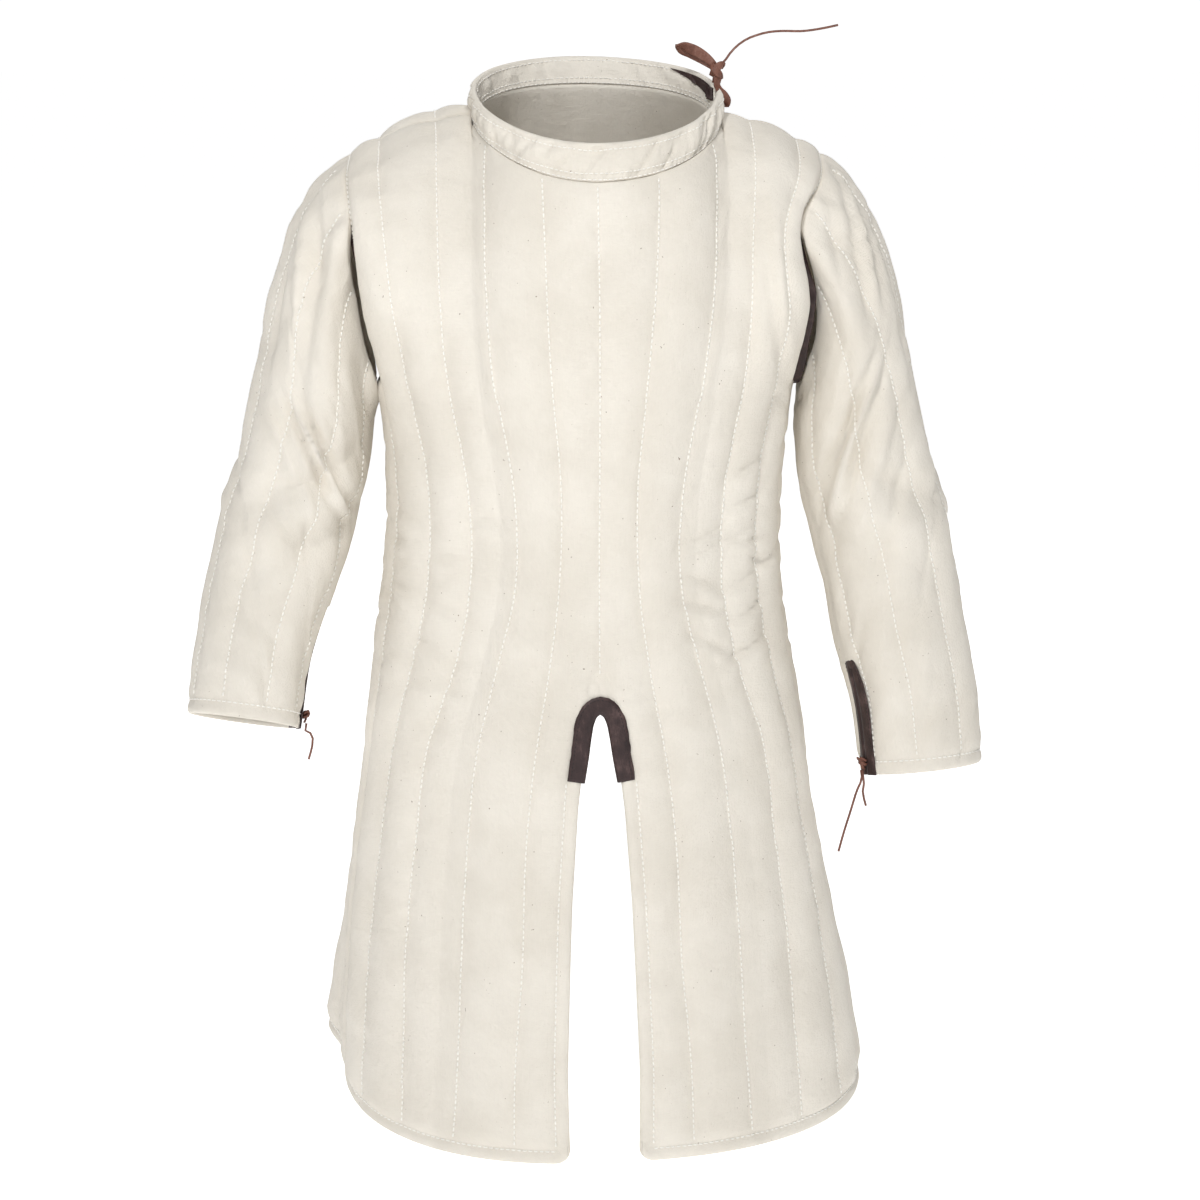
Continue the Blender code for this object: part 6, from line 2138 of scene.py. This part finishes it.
@dataclass(frozen=True)
class Tie:
    """Flat leather lace tied in a knot, drawn as strips in one plane and lifted over each other."""

    name: str
    node: str
    strips: list[list[TiePlace]]

    def build(self, centre: Array, across: Array, up: Array, facing: Array, finishes: Finishes) -> None:
        """Make the strips of the knot.

        Args:
            centre: middle of the knot.
            across: direction of its first axis.
            up: direction of its second axis.
            facing: direction it faces.
            finishes: materials.
        """
        parts = []
        for strip in self.strips:
            table = np.array(strip, float)
            flat = table[:, :1] * across + table[:, 1:2] * up + table[:, 2:3] * facing + centre
            run = running(flat)
            at = np.linspace(0, run[-1], max(12, int(run[-1] / .0012)))
            places = smooth(run, flat, at)
            wide = smooth(run, table[:, 3], at)
            thick = smooth(run, table[:, 4], at)
            roll = np.radians(smooth(run, table[:, 5], at))
            along = unit(np.gradient(places, axis=0))
            beside = unit(np.cross(along, facing))
            above = unit(np.cross(beside, along))
            one = beside * np.cos(roll)[:, None] + above * np.sin(roll)[:, None]
            two = above * np.cos(roll)[:, None] - beside * np.sin(roll)[:, None]
            ring = [(-1, -.5), (-1, .5), (-.8, 1), (-.3, 1), (.3, 1), (.8, 1), (1, .5), (1, -.5), (.8, -1),
                    (.3, -1), (-.3, -1), (-.8, -1)]
            sections = np.array([places + one * (wide * a)[:, None] + two * (thick * b)[:, None]
                                 for a, b in ring])
            parts.append(loft_parts(sections.transpose(1, 0, 2)))
        piece = joined(self.name, parts)
        dress(piece, finishes.lace_leather, "lace_leather", self.node)


def build_ties(sleeves: dict, finishes: Finishes) -> None:
    """Tie the collar's lace and the two cuff laces.

    Args:
        sleeves: sleeve of each side.
        finishes: materials.
    """
    place = TiePlace
    collar = [
        [place(.1195, .036, .001, .003, .0008), place(.114, .0425, .002, .0036, .0008),
         place(.106, .0485, .003, .0044, .0008, 10), place(.096, .0535, .003, .0048, .0008, 20),
         place(.088, .056, .001, .004, .0008, 40), place(.0832, .056, -.001, .0026, .0008, 90),
         place(.0868, .0532, -.003, .0036, .0008, 150), place(.096, .0495, -.003, .0042, .0008, 165),
         place(.106, .0445, -.003, .004, .0008, 175), place(.116, .038, -.001, .003, .0008, 180)],
        [place(.115, .03, 0.0, .0022, .001), place(.1175, .0345, .0045, .0034, .0011, 10),
         place(.1215, .0385, .005, .0036, .0011), place(.1255, .04, .001, .0024, .001, -20),
         place(.124, .037, -.003, .0024, .001)],
        [place(.124, .027, 0.0, .0022, .001), place(.1215, .031, .005, .0034, .0011, -15),
         place(.117, .0355, .0052, .0034, .0011), place(.115, .04, .001, .0024, .001, 20)],
        [place(.12, .033, .002, .0034, .001), place(.1205, .027, .003, .0036, .0009, 15),
         place(.12, .0215, .003, .0034, .0008, 30), place(.1225, .017, .003, .0032, .0008, 20),
         place(.1268, .0125, .002, .0036, .0008, -10), place(.1298, .007, .001, .0036, .0008, -30),
         place(.13, .0028, -.001, .0026, .0008, -80), place(.1262, .005, -.003, .003, .0008, -150),
         place(.1215, .011, -.003, .0032, .0008, -170), place(.119, .02, -.002, .003, .0008, -180),
         place(.119, .029, 0.0, .0026, .0009, -180)]]
    tie = Tie("collar_bow", "collar_lace", collar)
    tie.build(np.array([0, .013, 0]), np.array([1.0, 0, 0]), np.array([0, 0, 1.0]), np.array([0, -1.0, 0]),
              finishes)
    cuff = [
        [place(-.0015, 0.0, 0.0, .0016, .0008), place(-.0045, .0016, .001, .0018, .0007),
         place(-.007, .003, .001, .002, .0007, 30), place(-.0086, .0024, 0.0, .0014, .0007, 90),
         place(-.0066, 0.0, -.001, .0018, .0007, 150), place(-.003, -.0014, 0.0, .0016, .0008, 180)],
        [place(-.003, -.0024, -.002, .0016, .0009), place(-.0012, .001, .0028, .0024, .001, 10),
         place(.002, .0028, .002, .0022, .001), place(.0036, .0006, -.002, .0016, .0009)],
        [place(.003, -.003, -.002, .0016, .0009), place(.0014, .0002, .0032, .0024, .001, -10),
         place(-.002, .002, .0022, .002, .001), place(-.0034, 0.0, -.002, .0014, .0009)],
        [place(0.0, 0.0, .001, .0022, .001), place(.0004, -.004, .001, .0024, .0009),
         place(.0006, -.0072, 0.0, .002, .001)]]
    for side, name in ((Side.RIGHT, "right"), (Side.LEFT, "left")):
        sleeve = sleeves[side]
        row = len(sleeve.points) - 9
        surface = (sleeve.outer[row, 0] + sleeve.outer[row, -1]) / 2
        facing = unit(sleeve.normals[row, 0] + sleeve.normals[row, -1])
        up = sleeve.points[row - 6, 0] - sleeve.points[row, 0]
        up = unit(up - facing * np.dot(up, facing))
        centre = surface + facing * .0062
        across = np.cross(up, facing) * side.value
        Tie("cuff_bow_" + name, "cuff_lace_" + name, cuff).build(centre, across, up, facing, finishes)


# Cut of the cloth


def hang(name: str, points: Array, cells: Array, held: str, *sewn_on: str) -> None:
    """Measure the cut of a cloth piece on the middle of its wall, and log it.

    Args:
        name: the cloth piece.
        points: grid of points along the middle of the wall.
        cells: which cells of the grid are cloth.
        held: not used.
        sewn_on: not used.
    """
    across, along = points[:, 1:] - points[:, :-1], points[1:] - points[:-1]
    first = np.linalg.norm(np.cross(across[:-1], along[:, :-1]), axis=-1)
    second = np.linalg.norm(np.cross(across[1:], along[:, 1:]), axis=-1)
    area = float(((first + second) / 2 * cells).sum())
    width = float((np.linalg.norm(across[:-1], axis=-1) * cells).sum(axis=1).max())
    length = float((np.linalg.norm(along[:, :-1], axis=-1) * cells).sum(axis=0).max())
    log.info("%s is cut %.3f by %.3f m, %.4f square metres", name, width, length, area)


def declare_cloth(panels: dict, sleeves: dict, collar: Collar) -> None:
    for panel, name in ((panels[Face.FRONT], "front"), (panels[Face.BACK], "back")):
        leather = name + "_slit_leather"
        hang(name + "_panel", panel.points, panel.fine_cells, "hung", name + "_stitching", leather,
             leather + "_stitching")
    for side, sleeve in sleeves.items():
        name = side.name.lower()
        leather = "cuff_leather_" + name
        closed = np.concatenate([sleeve.points, sleeve.points[:, :1]], axis=1)
        hang("sleeve_" + name + "_cloth", closed, sleeve.fine_cells, "hung", "sleeve_" + name + "_stitching",
             leather, leather + "_stitching", "armhole_leather_" + name, "armhole_stitching_" + name)
    cells = np.ones((collar.points.shape[0] - 1, collar.points.shape[1] - 1), bool)
    hang("collar_cloth", collar.points, cells, "folded", "collar_stitching", "collar_leather")


def main() -> None:
    """Build the coat around its frame."""
    logging.basicConfig(level=logging.INFO, format="%(message)s")
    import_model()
    studio = Studio()
    studio.camera()
    finishes = Finishes()
    build_tails(finishes)
    studio.floor()
    studio.lights()
    form = BodyForm()
    panels = {Face.FRONT: BodyPanel(form, Face.FRONT, front_creases()),
              Face.BACK: BodyPanel(form, Face.BACK, back_creases())}
    for panel in panels.values():
        panel.build(finishes)
        slit_binding(panel, finishes)
    right = Sleeve(panels, Side.RIGHT, [
        Arm(.29, .259, 0.0, .054, .066), Arm(.326, .266, -.004, .0555, .064),
        Arm(.352, .2735, -.01, .056, .062), Arm(.39, .2845, -.02, .055, .06),
        Arm(.428, .2965, -.03, .0525, .057), Arm(.48, .3105, -.05, .0485, .053),
        Arm(.546, .322, -.073, .0485, .05)], -10, -12,
        [Fold(-105, .33, 50, .018, .0007, -.008), Fold(-130, .385, 48, .017, .0007, -.008),
         Fold(-115, .358, 46, .015, .0007, .005), Fold(75, .365, 45, .02, -.0005, -.006)], .013,
        right_sleeve_creases())
    left = Sleeve(panels, Side.LEFT, [
        Arm(.29, .2565, 0.0, .056, .066), Arm(.326, .262, -.002, .059, .064),
        Arm(.362, .2716, -.006, .06, .062), Arm(.42, .2846, -.015, .0585, .06),
        Arm(.482, .295, -.03, .0575, .057), Arm(.531, .3055, -.042, .0555, .055),
        Arm(.611, .3135, -.06, .054, .052)], 0, -11,
        [Fold(-80, .345, 46, .018, .0006, -.007), Fold(-120, .4, 40, .017, .0006, -.006),
         Fold(-100, .372, 44, .015, .0006, .004), Fold(70, .37, 45, .02, -.0005, -.006)], .024,
        left_sleeve_creases())
    sleeves = {Side.RIGHT: right, Side.LEFT: left}
    for sleeve in sleeves.values():
        sleeve.build(finishes)
        cuff_binding(sleeve, finishes)
    ArmholeFacing(panels, Side.LEFT, .015, .85).build(finishes)
    ArmholeFacing(panels, Side.RIGHT, .01).build(finishes)
    collar = Collar(form)
    collar.build(finishes)
    collar_facing(collar, finishes)
    build_ties(sleeves, finishes)
    declare_cloth(panels, sleeves, collar)


if __name__ == "__main__":
    main()
